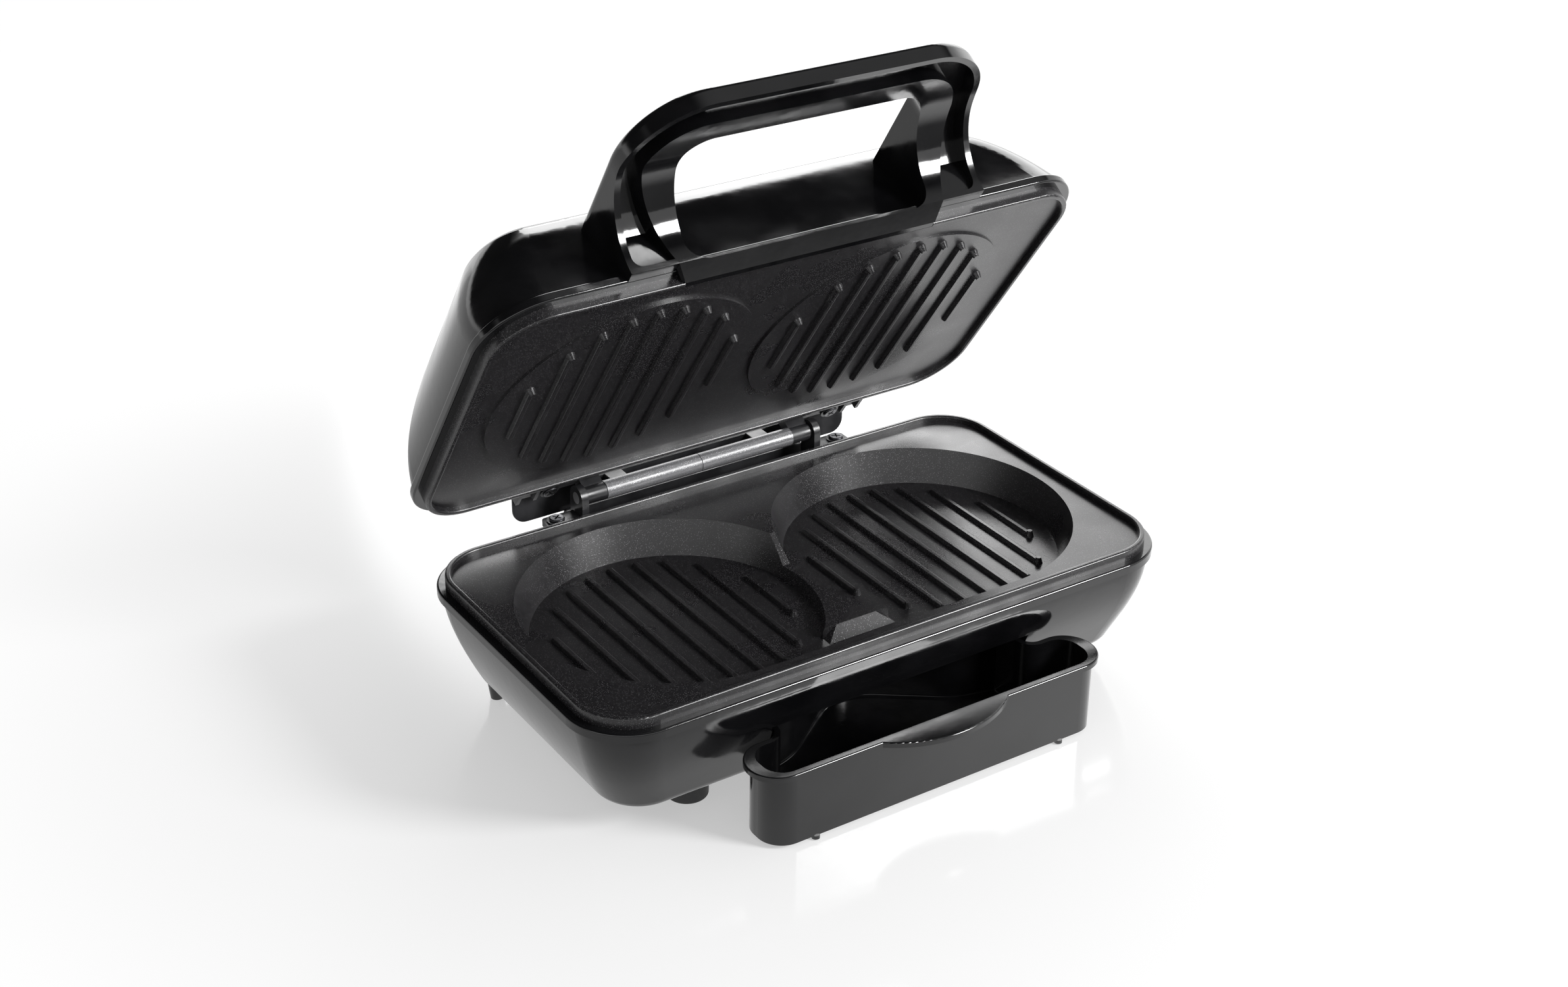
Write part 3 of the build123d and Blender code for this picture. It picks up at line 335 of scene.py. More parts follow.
class FinishTree(Tree):
    """Node tree of one material, with its Principled shader and Object coordinates."""

    def __init__(self, name: str) -> None:
        """Make the material.

        Args:
            name: plain name of the finish.
        """
        self.material = bpy.data.materials.new(name)
        self.material.use_nodes = True
        super().__init__(self.material.node_tree)
        output = self.add("ShaderNodeOutputMaterial")
        self.shader = self.add("ShaderNodeBsdfPrincipled")
        self.join(self.shader.outputs["BSDF"], output.inputs["Surface"])
        self.place = self.add("ShaderNodeTexCoord").outputs["Object"]

    def effect(self, effect: Effect, **values: float) -> bpy.types.NodeOutputs:
        """Place a shared group on Object coordinates.

        Args:
            effect: which group it is.
            values: numbers for its inputs, by their names.

        Returns:
            The group's sockets by the names Mask and Height.
        """
        node = self.add("ShaderNodeGroup", node_tree=SharedEffects.groups[effect])
        self.join(self.place, node.inputs["Vector"])
        for name, value in values.items():
            node.inputs[name].default_value = value
        return node.outputs

    def tint(self, mask: Socket, first: Color, second: Color) -> None:
        """Blend two base colours by a mask."""
        self.join(self.blend(mask, first, second), self.shader.inputs["Base Color"])

    def polish(self, mask: Socket, roughness: Span) -> None:
        """Spread the roughness over its range by a mask."""
        self.join(self.spread(mask, 0.0, 1.0, *roughness), self.shader.inputs["Roughness"])

    def relief(self, height: Socket, depth: float) -> None:
        """Add a bump that feeds the shader's normal.

        Args:
            height: height socket, 0 to 1.
            depth: real depth of the relief in metres.
        """
        bump = self.add("ShaderNodeBump", in_Strength=1.0, in_Distance=depth)
        self.join(height, bump.inputs["Height"])
        self.join(bump.outputs["Normal"], self.shader.inputs["Normal"])

    def constant(self, **values: float) -> None:
        """Set plain values on the shader's own sockets."""
        for name, value in values.items():
            self.shader.inputs[name.replace("_", " ")].default_value = value


@dataclass(frozen=True)
class GlossMoulding:
    """Glossy injection-moulded plastic with slightly uneven gloss."""

    name: str
    color: Color = (0.002, 0.002, 0.0023)
    haze: Color = (0.0045, 0.0045, 0.005)
    roughness: Span = (0.07, 0.15)
    haze_scale: float = 38.0
    haze_detail: float = 5.0
    peel_scale: float = 260.0
    peel_detail: float = 1.0
    peel_depth: float = 0.00002
    ior: float = 1.62

    def build(self) -> bpy.types.Material:
        """Build the material.

        Returns:
            The finished material.
        """
        tree = FinishTree(self.name)
        marks = tree.effect(Effect.MOTTLE, Scale=self.haze_scale, Detail=self.haze_detail)
        tree.tint(marks["Mask"], self.color, self.haze)
        tree.polish(marks["Mask"], self.roughness)
        peel = tree.effect(Effect.MOTTLE, Scale=self.peel_scale, Detail=self.peel_detail)
        tree.relief(peel["Height"], self.peel_depth)
        tree.constant(IOR=self.ior)
        return tree.material


@dataclass(frozen=True)
class SprayedCoating:
    """Dark sprayed coating on cast metal, with fine bright grains."""

    name: str
    color: Color
    grain_color: Color
    roughness: Span
    density: float = 0.7
    grain_scale: float = 2400.0
    grain_depth: float = 0.00001
    grain_haze: float = 0.2
    ground_grain: float = 0.5
    patch_scale: float = 30.0
    patch_detail: float = 3.0
    ior: float = 1.6

    def build(self) -> bpy.types.Material:
        """Build the material.

        Returns:
            The finished material.
        """
        tree = FinishTree(self.name)
        grains = tree.effect(Effect.SPECKLE, Scale=self.grain_scale, Density=self.density,
                             Grain=self.ground_grain)
        tree.tint(grains["Mask"], self.color, self.grain_color)
        tree.join(grains["Mask"], tree.shader.inputs["Metallic"])
        patches = tree.effect(Effect.MOTTLE, Scale=self.patch_scale, Detail=self.patch_detail)
        ground = tree.spread(patches["Mask"], 0.0, 1.0, *self.roughness)
        haze = tree.math("MULTIPLY", grains["Mask"], self.grain_haze)
        tree.join(tree.math("ADD", ground, haze), tree.shader.inputs["Roughness"])
        tree.relief(grains["Height"], self.grain_depth)
        tree.constant(IOR=self.ior)
        return tree.material


@dataclass(frozen=True)
class BareMetal:
    """Plain metal with drawing lines and uneven dulling."""

    name: str
    color: Color
    dull_color: Color
    roughness: Span = (0.22, 0.42)
    dulling_scale: float = 120.0
    dulling_detail: float = 4.0
    line_scale: float = 1200.0
    stretch: float = 0.05
    line_depth: float = 0.000006

    def build(self) -> bpy.types.Material:
        """Build the material.

        Returns:
            The finished material.
        """
        tree = FinishTree(self.name)
        dulling = tree.effect(Effect.MOTTLE, Scale=self.dulling_scale, Detail=self.dulling_detail)
        tree.tint(dulling["Mask"], self.color, self.dull_color)
        tree.polish(dulling["Mask"], self.roughness)
        lines = tree.effect(Effect.SCRATCH, Scale=self.line_scale, Stretch=self.stretch)
        tree.relief(lines["Height"], self.line_depth)
        tree.constant(Metallic=1.0)
        return tree.material


@dataclass(frozen=True)
class MattMass:
    """Matt moulded rubber, plastic or fired clay with a fine grain and dust."""

    name: str
    color: Color
    dust_color: Color
    roughness: Span = (0.6, 0.8)
    dust_scale: float = 90.0
    dust_detail: float = 6.0
    grain_scale: float = 1400.0
    grain_detail: float = 2.0
    grain_depth: float = 0.00004

    def build(self) -> bpy.types.Material:
        """Build the material.

        Returns:
            The finished material.
        """
        tree = FinishTree(self.name)
        dust = tree.effect(Effect.MOTTLE, Scale=self.dust_scale, Detail=self.dust_detail)
        tree.tint(dust["Mask"], self.color, self.dust_color)
        tree.polish(dust["Mask"], self.roughness)
        grain = tree.effect(Effect.MOTTLE, Scale=self.grain_scale, Detail=self.grain_detail)
        tree.relief(grain["Height"], self.grain_depth)
        return tree.material


@dataclass(frozen=True)
class LampLens:
    """Tinted clear plastic lens over an unlit lamp."""

    name: str
    color: Color
    deep_color: Color
    roughness: Span = (0.06, 0.12)
    depth_scale: float = 400.0
    depth_detail: float = 2.0
    clearness: float = 0.25
    ior: float = 1.49

    def build(self) -> bpy.types.Material:
        """Build the material.

        Returns:
            The finished material.
        """
        tree = FinishTree(self.name)
        depth = tree.effect(Effect.MOTTLE, Scale=self.depth_scale, Detail=self.depth_detail)
        tree.tint(depth["Mask"], self.color, self.deep_color)
        tree.polish(depth["Mask"], self.roughness)
        tree.constant(IOR=self.ior, Transmission_Weight=self.clearness)
        return tree.material


FINISHES = {
    Slot.HOUSING: GlossMoulding("gloss_black_moulding"),
    Slot.TRAY: GlossMoulding(
        "gloss_black_tray", color=(0.002, 0.002, 0.0022), roughness=(0.10, 0.20)),
    Slot.PLATE: SprayedCoating(
        "speckled_nonstick", color=(0.010, 0.0095, 0.0105), grain_color=(0.27, 0.265, 0.275),
        roughness=(0.26, 0.34)),
    Slot.SLEEVE: SprayedCoating(
        "sparkling_grey_coat", color=(0.12, 0.12, 0.125), grain_color=(0.7, 0.7, 0.72),
        roughness=(0.28, 0.38), density=0.95),
    Slot.BRACKET: MattMass(
        "satin_black_moulding", color=(0.012, 0.012, 0.013), dust_color=(0.022, 0.022, 0.024),
        roughness=(0.3, 0.45), grain_depth=0.00002),
    Slot.STEEL: BareMetal("plain_steel", color=(0.55, 0.55, 0.56), dull_color=(0.38, 0.38, 0.39)),
    Slot.SCREW: BareMetal("blackened_steel", color=(0.10, 0.10, 0.105), dull_color=(0.05, 0.05, 0.055)),
    Slot.RUBBER: MattMass("black_rubber", color=(0.015, 0.015, 0.016), dust_color=(0.045, 0.044, 0.042)),
    Slot.ELEMENT: BareMetal(
        "heated_sheath", color=(0.30, 0.29, 0.28), dull_color=(0.16, 0.15, 0.15), roughness=(0.4, 0.6)),
    Slot.REFLECTOR: BareMetal(
        "rolled_sheet", color=(0.78, 0.78, 0.79), dull_color=(0.62, 0.62, 0.63), line_scale=700.0,
        stretch=0.01),
    Slot.CERAMIC: MattMass("fired_clay", color=(0.80, 0.77, 0.70), dust_color=(0.66, 0.62, 0.56)),
    Slot.LENS_RED: LampLens("red_lens", color=(0.45, 0.02, 0.015), deep_color=(0.25, 0.008, 0.006)),
    Slot.LENS_GREEN: LampLens("green_lens", color=(0.02, 0.32, 0.07), deep_color=(0.008, 0.18, 0.03)),
}


class Wardrobe:
    """All materials, one for each slot of the record."""

    def __init__(self) -> None:
        """Build the shared groups and every finish."""
        SharedEffects.build()
        self.materials = {slot: finish.build() for slot, finish in FINISHES.items()}

    def dress_frame(self) -> None:
        """Give every CAD node the material of its slot."""
        for part in frame["record"]["subparts"]:
            node = frame["nodes"][part["node"]]
            node.data.materials.clear()
            node.data.materials.append(self.materials[Slot(part["material_slot"])])
            log.info("node %s dressed as %s", part["node"], part["material_slot"])


@dataclass(frozen=True)
class CrossScrew:
    """Pan head with a cross recess, as a template for one group of screws.

    The rises are shares of the head's height, and foot_share is one of its radius.
    """

    head_radius: float = 0.0031
    head_height: float = 0.0010
    foot_share: float = 0.97
    foot_rise: float = 0.12
    wall_rise: float = 0.45
    dome_turn_deg: float = 62.0
    dome_draw: float = 1.6
    dome_rings: int = 4
    recess_reach: float = 0.0019
    recess_width: float = 0.00075
    recess_depth: float = 0.0006
    recess_taper: float = 0.7
    sides: int = 40

    def rings(self) -> list[Span]:
        """Work out the head's rings from its seat to its top.

        Returns:
            Radius and height of each ring.
        """
        wall_top = self.head_height * self.wall_rise
        dome_height = self.head_height - wall_top
        rings = [(self.head_radius * self.foot_share, 0.0),
                 (self.head_radius, self.head_height * self.foot_rise), (self.head_radius, wall_top)]
        full_turn = math.radians(self.dome_turn_deg)
        for step in range(1, self.dome_rings + 1):
            turn = step / self.dome_rings * full_turn
            rings.append((self.head_radius - dome_height * (1 - math.cos(turn)) * self.dome_draw,
                          wall_top + dome_height * math.sin(turn) / math.sin(full_turn)))
        return rings

    def cross(self) -> list[Span]:
        """Work out the twelve corners of the cross recess, anticlockwise.

        Returns:
            X and Y of each corner.
        """
        half, reach = self.recess_width / 2, self.recess_reach
        corners = []
        for quarter in range(4):
            cosine, sine = math.cos(quarter * math.pi / 2), math.sin(quarter * math.pi / 2)
            for x, y in ((reach, -half), (reach, half), (half, half)):
                corners.append((x * cosine - y * sine, x * sine + y * cosine))
        return corners

    @staticmethod
    def band(work: bmesh.types.BMesh, low: list[bmesh.types.BMVert], high: list[bmesh.types.BMVert]) -> None:
        """Join two closed rows of vertices by a band of faces.

        Args:
            work: mesh that is being built.
            low: one row.
            high: the other row, as long as the first.
        """
        for i in range(len(low)):
            j = (i + 1) % len(low)
            work.faces.new((low[i], low[j], high[j], high[i]))

    def template(self, name: str) -> bpy.types.Object:
        """Build the head with its top in +Z and its seat at Z 0.

        Args:
            name: name of the mesh.

        Returns:
            An object that stands as the template.
        """
        mesh = bpy.data.meshes.new(name)
        work = bmesh.new()
        steps = [2 * math.pi * i / self.sides for i in range(self.sides)]
        rows = [[work.verts.new((radius * math.cos(turn), radius * math.sin(turn), height)) for turn in steps]
                for radius, height in self.rings()]
        for low, high in zip(rows, rows[1:]):
            self.band(work, low, high)
        work.faces.new(list(reversed(rows[0])))
        taper, depth = self.recess_taper, self.head_height - self.recess_depth
        mouth = [work.verts.new((x, y, self.head_height)) for x, y in self.cross()]
        floor = [work.verts.new((x * taper, y * taper, depth)) for x, y in self.cross()]
        self.band(work, mouth, floor)
        work.faces.new(floor)
        edges = [edge for edge in work.edges if edge.is_boundary]
        bmesh.ops.triangle_fill(work, use_beauty=True, edges=edges)
        bmesh.ops.recalc_face_normals(work, faces=work.faces)
        work.to_mesh(mesh)
        work.free()
        head = bpy.data.objects.new(name, mesh)
        bpy.context.scene.collection.objects.link(head)
        return head


class ScrewPattern:
    """Geometry Nodes tree that puts a head on every point, with a turn of its own."""

    largest_turn: float = 1.5
    seed: int = 7
    # Random Value repeats its socket names for each type, so those of a plain number go by index.
    random_float_max: int = 3
    random_float_result: int = 1

    def __init__(self) -> None:
        """Build the tree and keep its inputs' identifiers."""
        self.tree = bpy.data.node_groups.new("screw_pattern", "GeometryNodeTree")
        sockets = self.tree.interface
        sockets.new_socket(name="Points", in_out="INPUT", socket_type="NodeSocketGeometry")
        self.ids = {}
        for name, kind in (("Head", "NodeSocketObject"), ("Finish", "NodeSocketMaterial"),
                           ("Largest turn", "NodeSocketFloat"), ("Seed", "NodeSocketInt")):
            socket = sockets.new_socket(name=name, in_out="INPUT", socket_type=kind)
            self.ids[name] = socket.identifier
        sockets.new_socket(name="Screws", in_out="OUTPUT", socket_type="NodeSocketGeometry")
        self.wire(Tree(self.tree))

    def wire(self, tree: Tree) -> None:
        """Aim, turn and place a head on each point.

        Args:
            tree: the empty tree, with its sockets made.
        """
        entry, leave = tree.add("NodeGroupInput"), tree.add("NodeGroupOutput")
        info = tree.add("GeometryNodeObjectInfo")
        tree.join(entry.outputs["Head"], info.inputs["Object"])
        axis = tree.add("GeometryNodeInputNamedAttribute", data_type="FLOAT_VECTOR", in_Name="screw_axis")
        aim = tree.add("FunctionNodeAlignRotationToVector", axis="Z")
        tree.join(axis.outputs["Attribute"], aim.inputs["Vector"])
        turn = tree.add("FunctionNodeRandomValue", data_type="FLOAT")
        tree.join(entry.outputs["Largest turn"], turn.inputs[self.random_float_max])
        tree.join(entry.outputs["Seed"], turn.inputs["Seed"])
        spin = tree.add("ShaderNodeCombineXYZ")
        tree.join(turn.outputs[self.random_float_result], spin.inputs["Z"])
        local = tree.add("FunctionNodeRotateRotation", rotation_space="LOCAL")
        tree.join(aim.outputs["Rotation"], local.inputs["Rotation"])
        tree.join(spin.outputs["Vector"], local.inputs["Rotate By"])
        put = tree.add("GeometryNodeInstanceOnPoints")
        tree.join(entry.outputs["Points"], put.inputs["Points"])
        tree.join(info.outputs["Geometry"], put.inputs["Instance"])
        tree.join(local.outputs["Rotation"], put.inputs["Rotation"])
        real = tree.add("GeometryNodeRealizeInstances")
        tree.join(put.outputs["Instances"], real.inputs["Geometry"])
        paint = tree.add("GeometryNodeSetMaterial")
        tree.join(real.outputs["Geometry"], paint.inputs["Geometry"])
        tree.join(entry.outputs["Finish"], paint.inputs["Material"])
        tree.join(paint.outputs["Geometry"], leave.inputs["Screws"])

    def place(self, name: str, places: list[Point], axis: Vector, head: bpy.types.Object,
              finish: bpy.types.Material) -> bpy.types.Object:
        """Put heads at places and return them as one plain mesh.

        Args:
            name: name of the piece.
            places: seats of the heads, in metres.
            axis: direction in which the heads face.
            head: template of a head.
            finish: material of the heads.

        Returns:
            The finished piece, with no modifier left.
        """
        mesh = bpy.data.meshes.new(name + "_points")
        mesh.from_pydata(places, [], [])
        aims = mesh.attributes.new("screw_axis", "FLOAT_VECTOR", "POINT")
        for item in aims.data:
            item.vector = axis
        piece = bpy.data.objects.new(name, mesh)
        bpy.context.scene.collection.objects.link(piece)
        modifier = piece.modifiers.new("screws", "NODES")
        modifier.node_group = self.tree
        modifier[self.ids["Head"]] = head
        modifier[self.ids["Finish"]] = finish
        modifier[self.ids["Largest turn"]] = self.largest_turn
        modifier[self.ids["Seed"]] = self.seed
        bpy.context.view_layer.update()
        graph = bpy.context.evaluated_depsgraph_get()
        made = bpy.data.meshes.new_from_object(piece.evaluated_get(graph))
        piece.modifiers.clear()
        piece.data = made
        made.name = name
        return piece


@dataclass(frozen=True)
class SoftLamp:
    """Round soft lamp aimed at a point of the object."""

    name: str
    place: Point
    target: Point
    size: float
    power: float

    def hang(self) -> None:
        """Add the lamp to the scene."""
        data = bpy.data.lights.new(self.name, "AREA")
        data.shape = "DISK"
        data.size = self.size
        data.energy = self.power
        lamp = bpy.data.objects.new(self.name, data)
        lamp.location = self.place
        lamp.rotation_mode = "QUATERNION"
        lamp.rotation_quaternion = (Vector(self.target) - Vector(self.place)).to_track_quat("-Z", "Y")
        bpy.context.scene.collection.objects.link(lamp)
        log.info("lamp %s hung", self.name)


@dataclass(frozen=True)
class GlowPatch:
    """Soft bright patch of the surroundings, seen in glossy faces, with its half angles in degrees."""

    aim: Point
    inner: float
    outer: float
    glow: float

    def wire(self, tree: Tree, way: Socket) -> Socket:
        """Add the patch to the world's tree.

        Args:
            tree: the world's tree.
            way: socket of the direction that is looked in.

        Returns:
            Socket of the patch's strength in that direction.
        """
        core, rim = math.cos(math.radians(self.inner)), math.cos(math.radians(self.outer))
        return tree.spread(tree.facing(way, Vector(self.aim).normalized()), rim, core, 0.0, self.glow)


@dataclass(frozen=True)
class Studio:
    """Camera, lamps, white surroundings and floor."""

    # The camera's place and axes, as fitted to outlines in the photograph, and its lens in millimetres
    camera_place: Point = (-0.44481633, -0.64945816, 0.50367934)
    camera_right: Point = (0.83328503, -0.55272987, 0.01121421)
    camera_up: Point = (0.25323553, 0.39964739, 0.88099587)
    lens: float = 53.80237
    sensor_width: float = 36.0
    clip: Span = (0.05, 100.0)
    # The table: over table_rim, in metres from the middle, its glow, grey and gloss change from near to far
    floor_half: float = 30.0
    table_rim: Span = (0.13, 0.42)
    table_glow: Span = (0.48, 0.94)
    table_grey: Span = (0.42, 0.10)
    table_gloss: Span = (1.0, 0.15)
    table_roughness: float = 0.12
    table_ior: float = 1.45
    # The table as glossy faces see it: a strength that changes along Y, times a gain along X
    table_edge: Span = (-0.28, -0.11)
    mirrored_table: Span = (0.10, 0.66)
    table_side: Span = (-0.15, 0.12)
    side_gain: Span = (0.9, 2.1)
    # The room: light on matt faces, then what only glossy faces see, its edges as parts of a unit sphere
    room_light: float = 0.6
    ceiling_edge: Span = (0.49, 0.57)
    wall_glow: float = 1.05
    ceiling_glow: float = 0.02
    screen_aim: Point = (-0.5, 0.866, 0.0)
    screen_side: Span = (0.34, 0.68)
    screen_edge: Span = (0.06, 0.13)
    wall_patch: GlowPatch = GlowPatch((0.62, 0.72, 0.42), 14.0, 34.0, 2.0)
    skylight: GlowPatch = GlowPatch((0.50, -0.04, 0.87), 8.0, 30.0, 0.35)
    lamps: tuple[SoftLamp, ...] = (
        SoftLamp("key_lamp", (0.85, -1.2, 0.82), (0.0, 0.0, 0.08), 0.5, 34.0),
        SoftLamp("back_lamp", (0.9, 1.5, 0.75), (0.0, 0.05, 0.12), 0.9, 7.0),
    )

    def add_camera(self) -> None:
        """Stand the camera where the photograph was taken from."""
        data = bpy.data.cameras.new("camera")
        data.sensor_fit = "HORIZONTAL"
        data.sensor_width = self.sensor_width
        data.lens = self.lens
        data.clip_start, data.clip_end = self.clip
        camera = bpy.data.objects.new("camera", data)
        right, up = Vector(self.camera_right), Vector(self.camera_up)
        back = right.cross(up)
        turned = Matrix((right, up, back)).transposed().to_4x4()
        camera.matrix_world = Matrix.Translation(Vector(self.camera_place)) @ turned
        bpy.context.scene.collection.objects.link(camera)
        bpy.context.scene.camera = camera
        log.info("camera placed")

    def mirrored_room(self, tree: Tree, way: Socket) -> Socket:
        """Light the walls under a dark ceiling and beside a dark screen, as glossy faces see them.

        Args:
            tree: the world's tree.
            way: socket of the direction that is looked in.

        Returns:
            Socket of the strength in that direction.
        """
        height = tree.axes(way)["Z"]
        walls = tree.math("ADD", self.wall_patch.wire(tree, way), self.wall_glow)
        below = tree.spread(height, *self.ceiling_edge, 1.0, 0.0)
        behind = tree.spread(tree.facing(way, Vector(self.screen_aim)), *self.screen_side)
        above = tree.spread(height, *self.screen_edge)
        open_side = tree.math("SUBTRACT", 1.0, tree.math("MULTIPLY", behind, above))
        lit_walls = tree.math("MULTIPLY", tree.math("MULTIPLY", below, open_side), walls)
        room = tree.math("ADD", lit_walls, self.ceiling_glow)
        return tree.math("ADD", room, self.skylight.wire(tree, way))

    def add_world(self) -> None:
        """Surround the object with white for sight, soft light, and walls that only glossy faces see."""
        world = bpy.data.worlds.new("surroundings")
        world.use_nodes = True
        bpy.context.scene.world = world
        tree = Tree(world.node_tree)
        output = tree.add("ShaderNodeOutputWorld")
        way = tree.add("ShaderNodeTexCoord").outputs["Generated"]
        seen = tree.add("ShaderNodeBackground", in_Color=WHITE, in_Strength=1.0)
        mirrored = tree.add("ShaderNodeBackground", in_Color=WHITE)
        tree.join(self.mirrored_room(tree, way), mirrored.inputs["Strength"])
        lit = tree.add("ShaderNodeBackground", in_Color=WHITE, in_Strength=self.room_light)
        path = tree.add("ShaderNodeLightPath").outputs
        shine = tree.choose(path["Is Glossy Ray"], lit.outputs[0], mirrored.outputs[0])
        sight = tree.math("MAXIMUM", path["Is Camera Ray"], path["Is Transmission Ray"])
        tree.join(tree.choose(sight, shine, seen.outputs[0]), output.inputs["Surface"])

    def table_material(self) -> bpy.types.Material:
        """Build a white table whose shadow fades with distance, and that looks dim to glossy faces.

        Returns:
            The finished material.
        """
        material = bpy.data.materials.new("white_table")
        material.use_nodes = True
        tree = Tree(material.node_tree)
        output = tree.add("ShaderNodeOutputMaterial")
        place = tree.add("ShaderNodeTexCoord").outputs["Object"]
        away = tree.add("ShaderNodeVectorMath", operation="LENGTH")
        tree.join(place, away.inputs[0])
        distance = away.outputs["Value"]
        matt = tree.add("ShaderNodeBsdfDiffuse")
        near_grey, far_grey = self.table_grey
        grey = tree.blend(tree.spread(distance, *self.table_rim), (near_grey,) * 3, (far_grey,) * 3)
        tree.join(grey, matt.inputs["Color"])
        glow = tree.add("ShaderNodeEmission", in_Color=WHITE)
        tree.join(tree.spread(distance, *self.table_rim, *self.table_glow), glow.inputs["Strength"])
        bright = tree.add("ShaderNodeAddShader")
        tree.join(matt.outputs[0], bright.inputs[0])
        tree.join(glow.outputs[0], bright.inputs[1])
        gloss = tree.add("ShaderNodeBsdfAnisotropic", in_Color=WHITE, in_Roughness=self.table_roughness)
        fresnel = tree.add("ShaderNodeFresnel", in_IOR=self.table_ior)
        near = tree.spread(distance, *self.table_rim, *self.table_gloss)
        weight = tree.math("MULTIPLY", fresnel.outputs[0], near)
        shiny = tree.choose(weight, bright.outputs[0], gloss.outputs[0])
        dim = tree.add("ShaderNodeEmission", in_Color=WHITE)
        sides = tree.axes(place)
        forward = tree.spread(sides["Y"], *self.table_edge, *self.mirrored_table)
        sideways = tree.spread(sides["X"], *self.table_side, *self.side_gain)
        tree.join(tree.math("MULTIPLY", forward, sideways), dim.inputs["Strength"])
        path = tree.add("ShaderNodeLightPath").outputs
        tree.join(tree.choose(path["Is Glossy Ray"], shiny, dim.outputs[0]), output.inputs["Surface"])
        return material

    def add_floor(self) -> None:
        """Lay a white floor that keeps a soft shadow and a weak reflection."""
        mesh = bpy.data.meshes.new("floor")
        half = self.floor_half
        mesh.from_pydata([(-half, -half, 0), (half, -half, 0), (half, half, 0), (-half, half, 0)],
                         [], [(0, 1, 2, 3)])
        floor = bpy.data.objects.new("floor", mesh)
        bpy.context.scene.collection.objects.link(floor)
        floor.data.materials.append(self.table_material())
        log.info("floor laid")

    def build(self) -> None:
        """Make everything that isn't part of the object."""
        bpy.context.scene.view_settings.view_transform = "Standard"
        self.add_camera()
        for lamp in self.lamps:
            lamp.hang()
        self.add_world()
        self.add_floor()


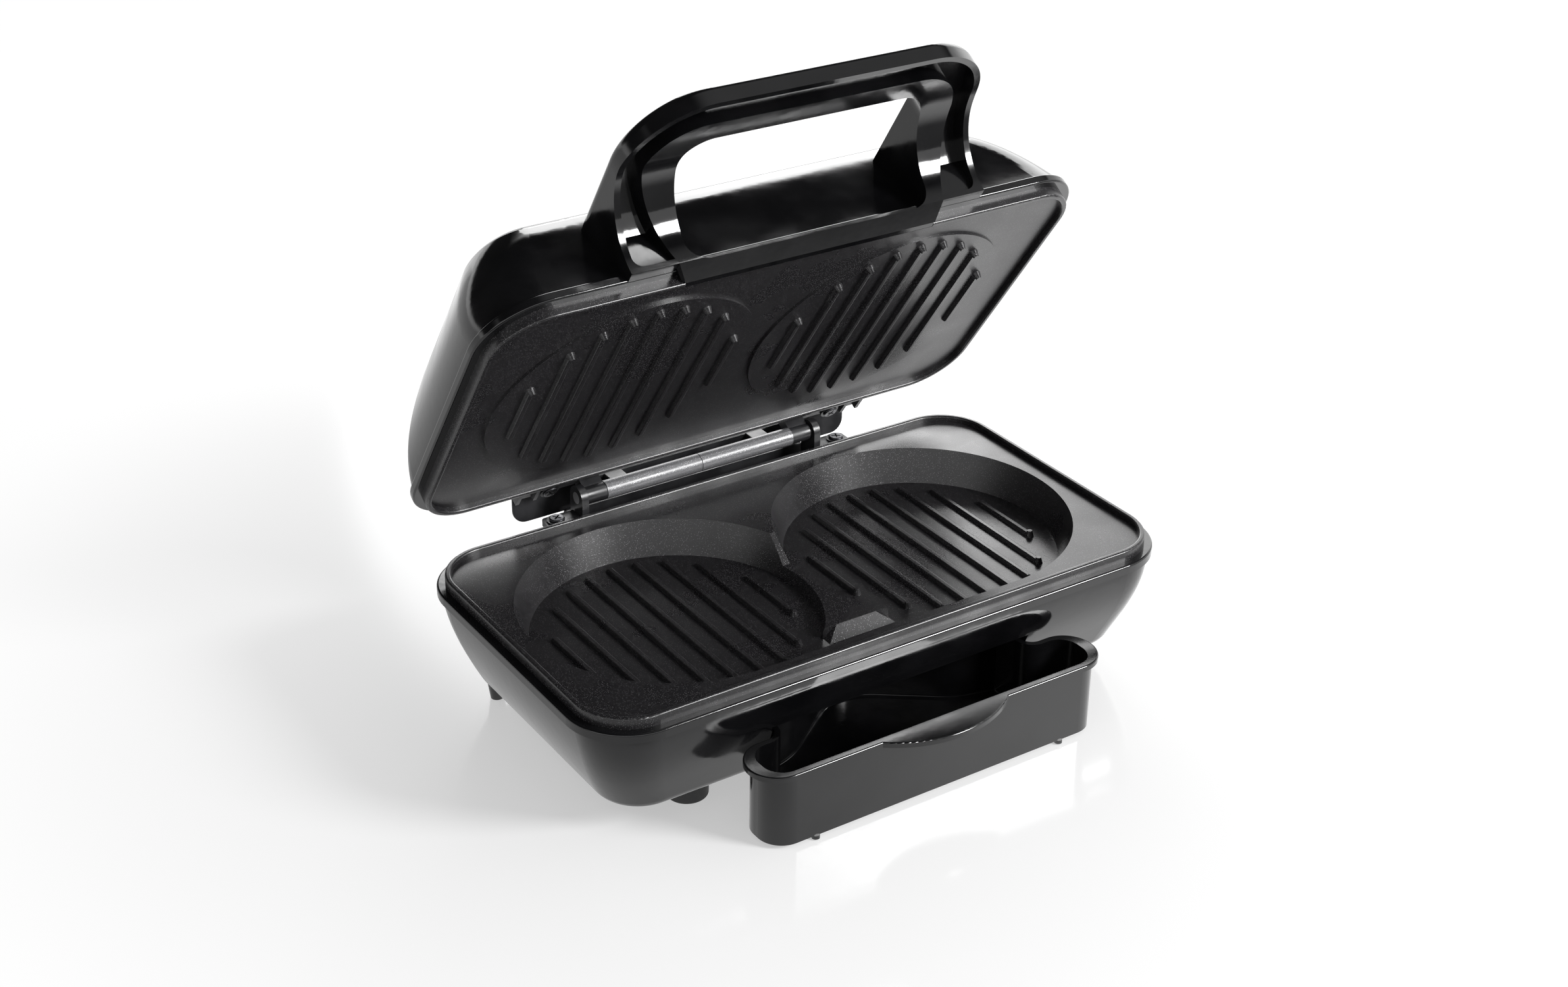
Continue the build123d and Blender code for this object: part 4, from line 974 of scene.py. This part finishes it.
@dataclass(frozen=True)
class HingeBarWeb:
    """Thin strip behind the hinge tubes, held by a short arm on the back of each tube."""

    half_length: float = 0.0795
    arm_place: Span = (0.030, 0.038)
    arm_depth_in_tube: float = 0.0006
    web_front: float = 0.0866
    web_back: float = 0.0878
    top: float = 0.0619
    arm_bottom: float = 0.0597
    web_bottom: float = 0.0503
    end_radius: float = 0.006
    end_steps: int = 8
    edge_round: float = 0.0003
    edge_segments: int = 2
    sharp_angle: float = 0.5

    def outline(self) -> list[Span]:
        """Work out the strip's outline as seen from the front, with round lower corners.

        Returns:
            X and Z of each point.
        """
        middle, low = self.half_length - self.end_radius, self.web_bottom + self.end_radius
        points = [(-self.half_length, self.top)]
        for side, start in ((-1, math.pi), (1, 1.5 * math.pi)):
            for step in range(self.end_steps + 1):
                angle = start + step / self.end_steps * math.pi / 2
                points.append((side * middle + self.end_radius * math.cos(angle),
                               low + self.end_radius * math.sin(angle)))
        points.append((self.half_length, self.top))
        return points

    def blocks(self) -> list[tuple[list[Span], float, float]]:
        """Work out the strip and its two arms.

        Returns:
            Outline, front and back of each.
        """
        inner, outer = self.arm_place
        arm_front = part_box("hinge_sleeve_left")[1].y - self.arm_depth_in_tube
        arm_back = self.web_front + self.edge_round
        blocks = [(self.outline(), self.web_front, self.web_back)]
        for left, right in ((-outer, -inner), (inner, outer)):
            arm = [(left, self.top), (left, self.arm_bottom), (right, self.arm_bottom), (right, self.top)]
            blocks.append((arm, arm_front, arm_back))
        return blocks

    def build(self, material: bpy.types.Material) -> None:
        """Make the strip and let it ride on the hinge bar.

        Args:
            material: finish of the strip.
        """
        mesh = bpy.data.meshes.new("hinge_bar_web")
        work = bmesh.new()
        for outline, front, back in self.blocks():
            face = work.faces.new([work.verts.new((x, front, z)) for x, z in outline])
            made = bmesh.ops.extrude_face_region(work, geom=[face], use_keep_orig=True)
            moved = [item for item in made["geom"] if isinstance(item, bmesh.types.BMVert)]
            bmesh.ops.translate(work, verts=moved, vec=(0, back - front, 0))
        bmesh.ops.recalc_face_normals(work, faces=work.faces)
        sharp = [edge for edge in work.edges if edge.calc_face_angle(0.0) > self.sharp_angle]
        bmesh.ops.bevel(work, geom=sharp, affect="EDGES", offset=self.edge_round,
                        segments=self.edge_segments, profile=0.5)
        work.to_mesh(mesh)
        work.free()
        mesh.materials.append(material)
        web = bpy.data.objects.new("hinge_bar_web", mesh)
        bpy.context.scene.collection.objects.link(web)
        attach(web, "hinge_bar")
        log.info("piece %s with %d faces", web.name, len(mesh.polygons))


@dataclass
class HingeScrews:
    """Cross-headed screws in the hinge lugs of the base and of the lid."""

    wardrobe: Wardrobe
    pattern: ScrewPattern
    lug: CrossScrew = CrossScrew()
    lid_lean_deg: float = 54.6
    top_slack: float = 0.0002

    def seats(self, node: str, axis: Vector) -> list[Point]:
        """Find where the heads of a screw node are seated.

        Args:
            node: CAD node that holds the screws.
            axis: direction in which the heads face.

        Returns:
            Middle of each head's top, lowered by the head's height.
        """
        mesh = frame["nodes"][node].data
        top = max(vertex.co.dot(axis) for vertex in mesh.vertices)
        sides: dict[bool, list[Vector]] = {True: [], False: []}
        for vertex in mesh.vertices:
            if vertex.co.dot(axis) > top - self.top_slack:
                sides[vertex.co.x > 0].append(vertex.co)
        places = []
        for group in sides.values():
            low = Vector([min(point[i] for point in group) for i in range(3)])
            high = Vector([max(point[i] for point in group) for i in range(3)])
            places.append(tuple((low + high) / 2 - axis * self.lug.head_height))
        return places

    def build(self) -> None:
        """Replace the plain screws of the lugs."""
        lean = math.radians(self.lid_lean_deg)
        for node, body, axis in (("base_hinge_screws", "base", Vector((0, 0, 1))),
                                 ("lid_hinge_screws", "lid", -Vector((0, math.sin(lean), math.cos(lean))))):
            head = self.lug.template(node + "_head")
            piece = self.pattern.place(node + "_cross", self.seats(node, axis), axis, head,
                                       self.wardrobe.materials[Slot.SCREW])
            bpy.data.objects.remove(head)
            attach(piece, body)
            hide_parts(node)
            log.info("piece %s with %d faces", piece.name, len(piece.data.polygons))


def main() -> None:
    """Build the looks of the grill in order."""
    logging.basicConfig(level=logging.INFO, format="%(name)s: %(message)s")
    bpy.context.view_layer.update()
    wardrobe = Wardrobe()
    wardrobe.dress_frame()
    Studio().build()
    HingeScrews(wardrobe, ScrewPattern()).build()
    HingeBarWeb().build(wardrobe.materials[Slot.BRACKET])


if __name__ == "__main__":
    main()
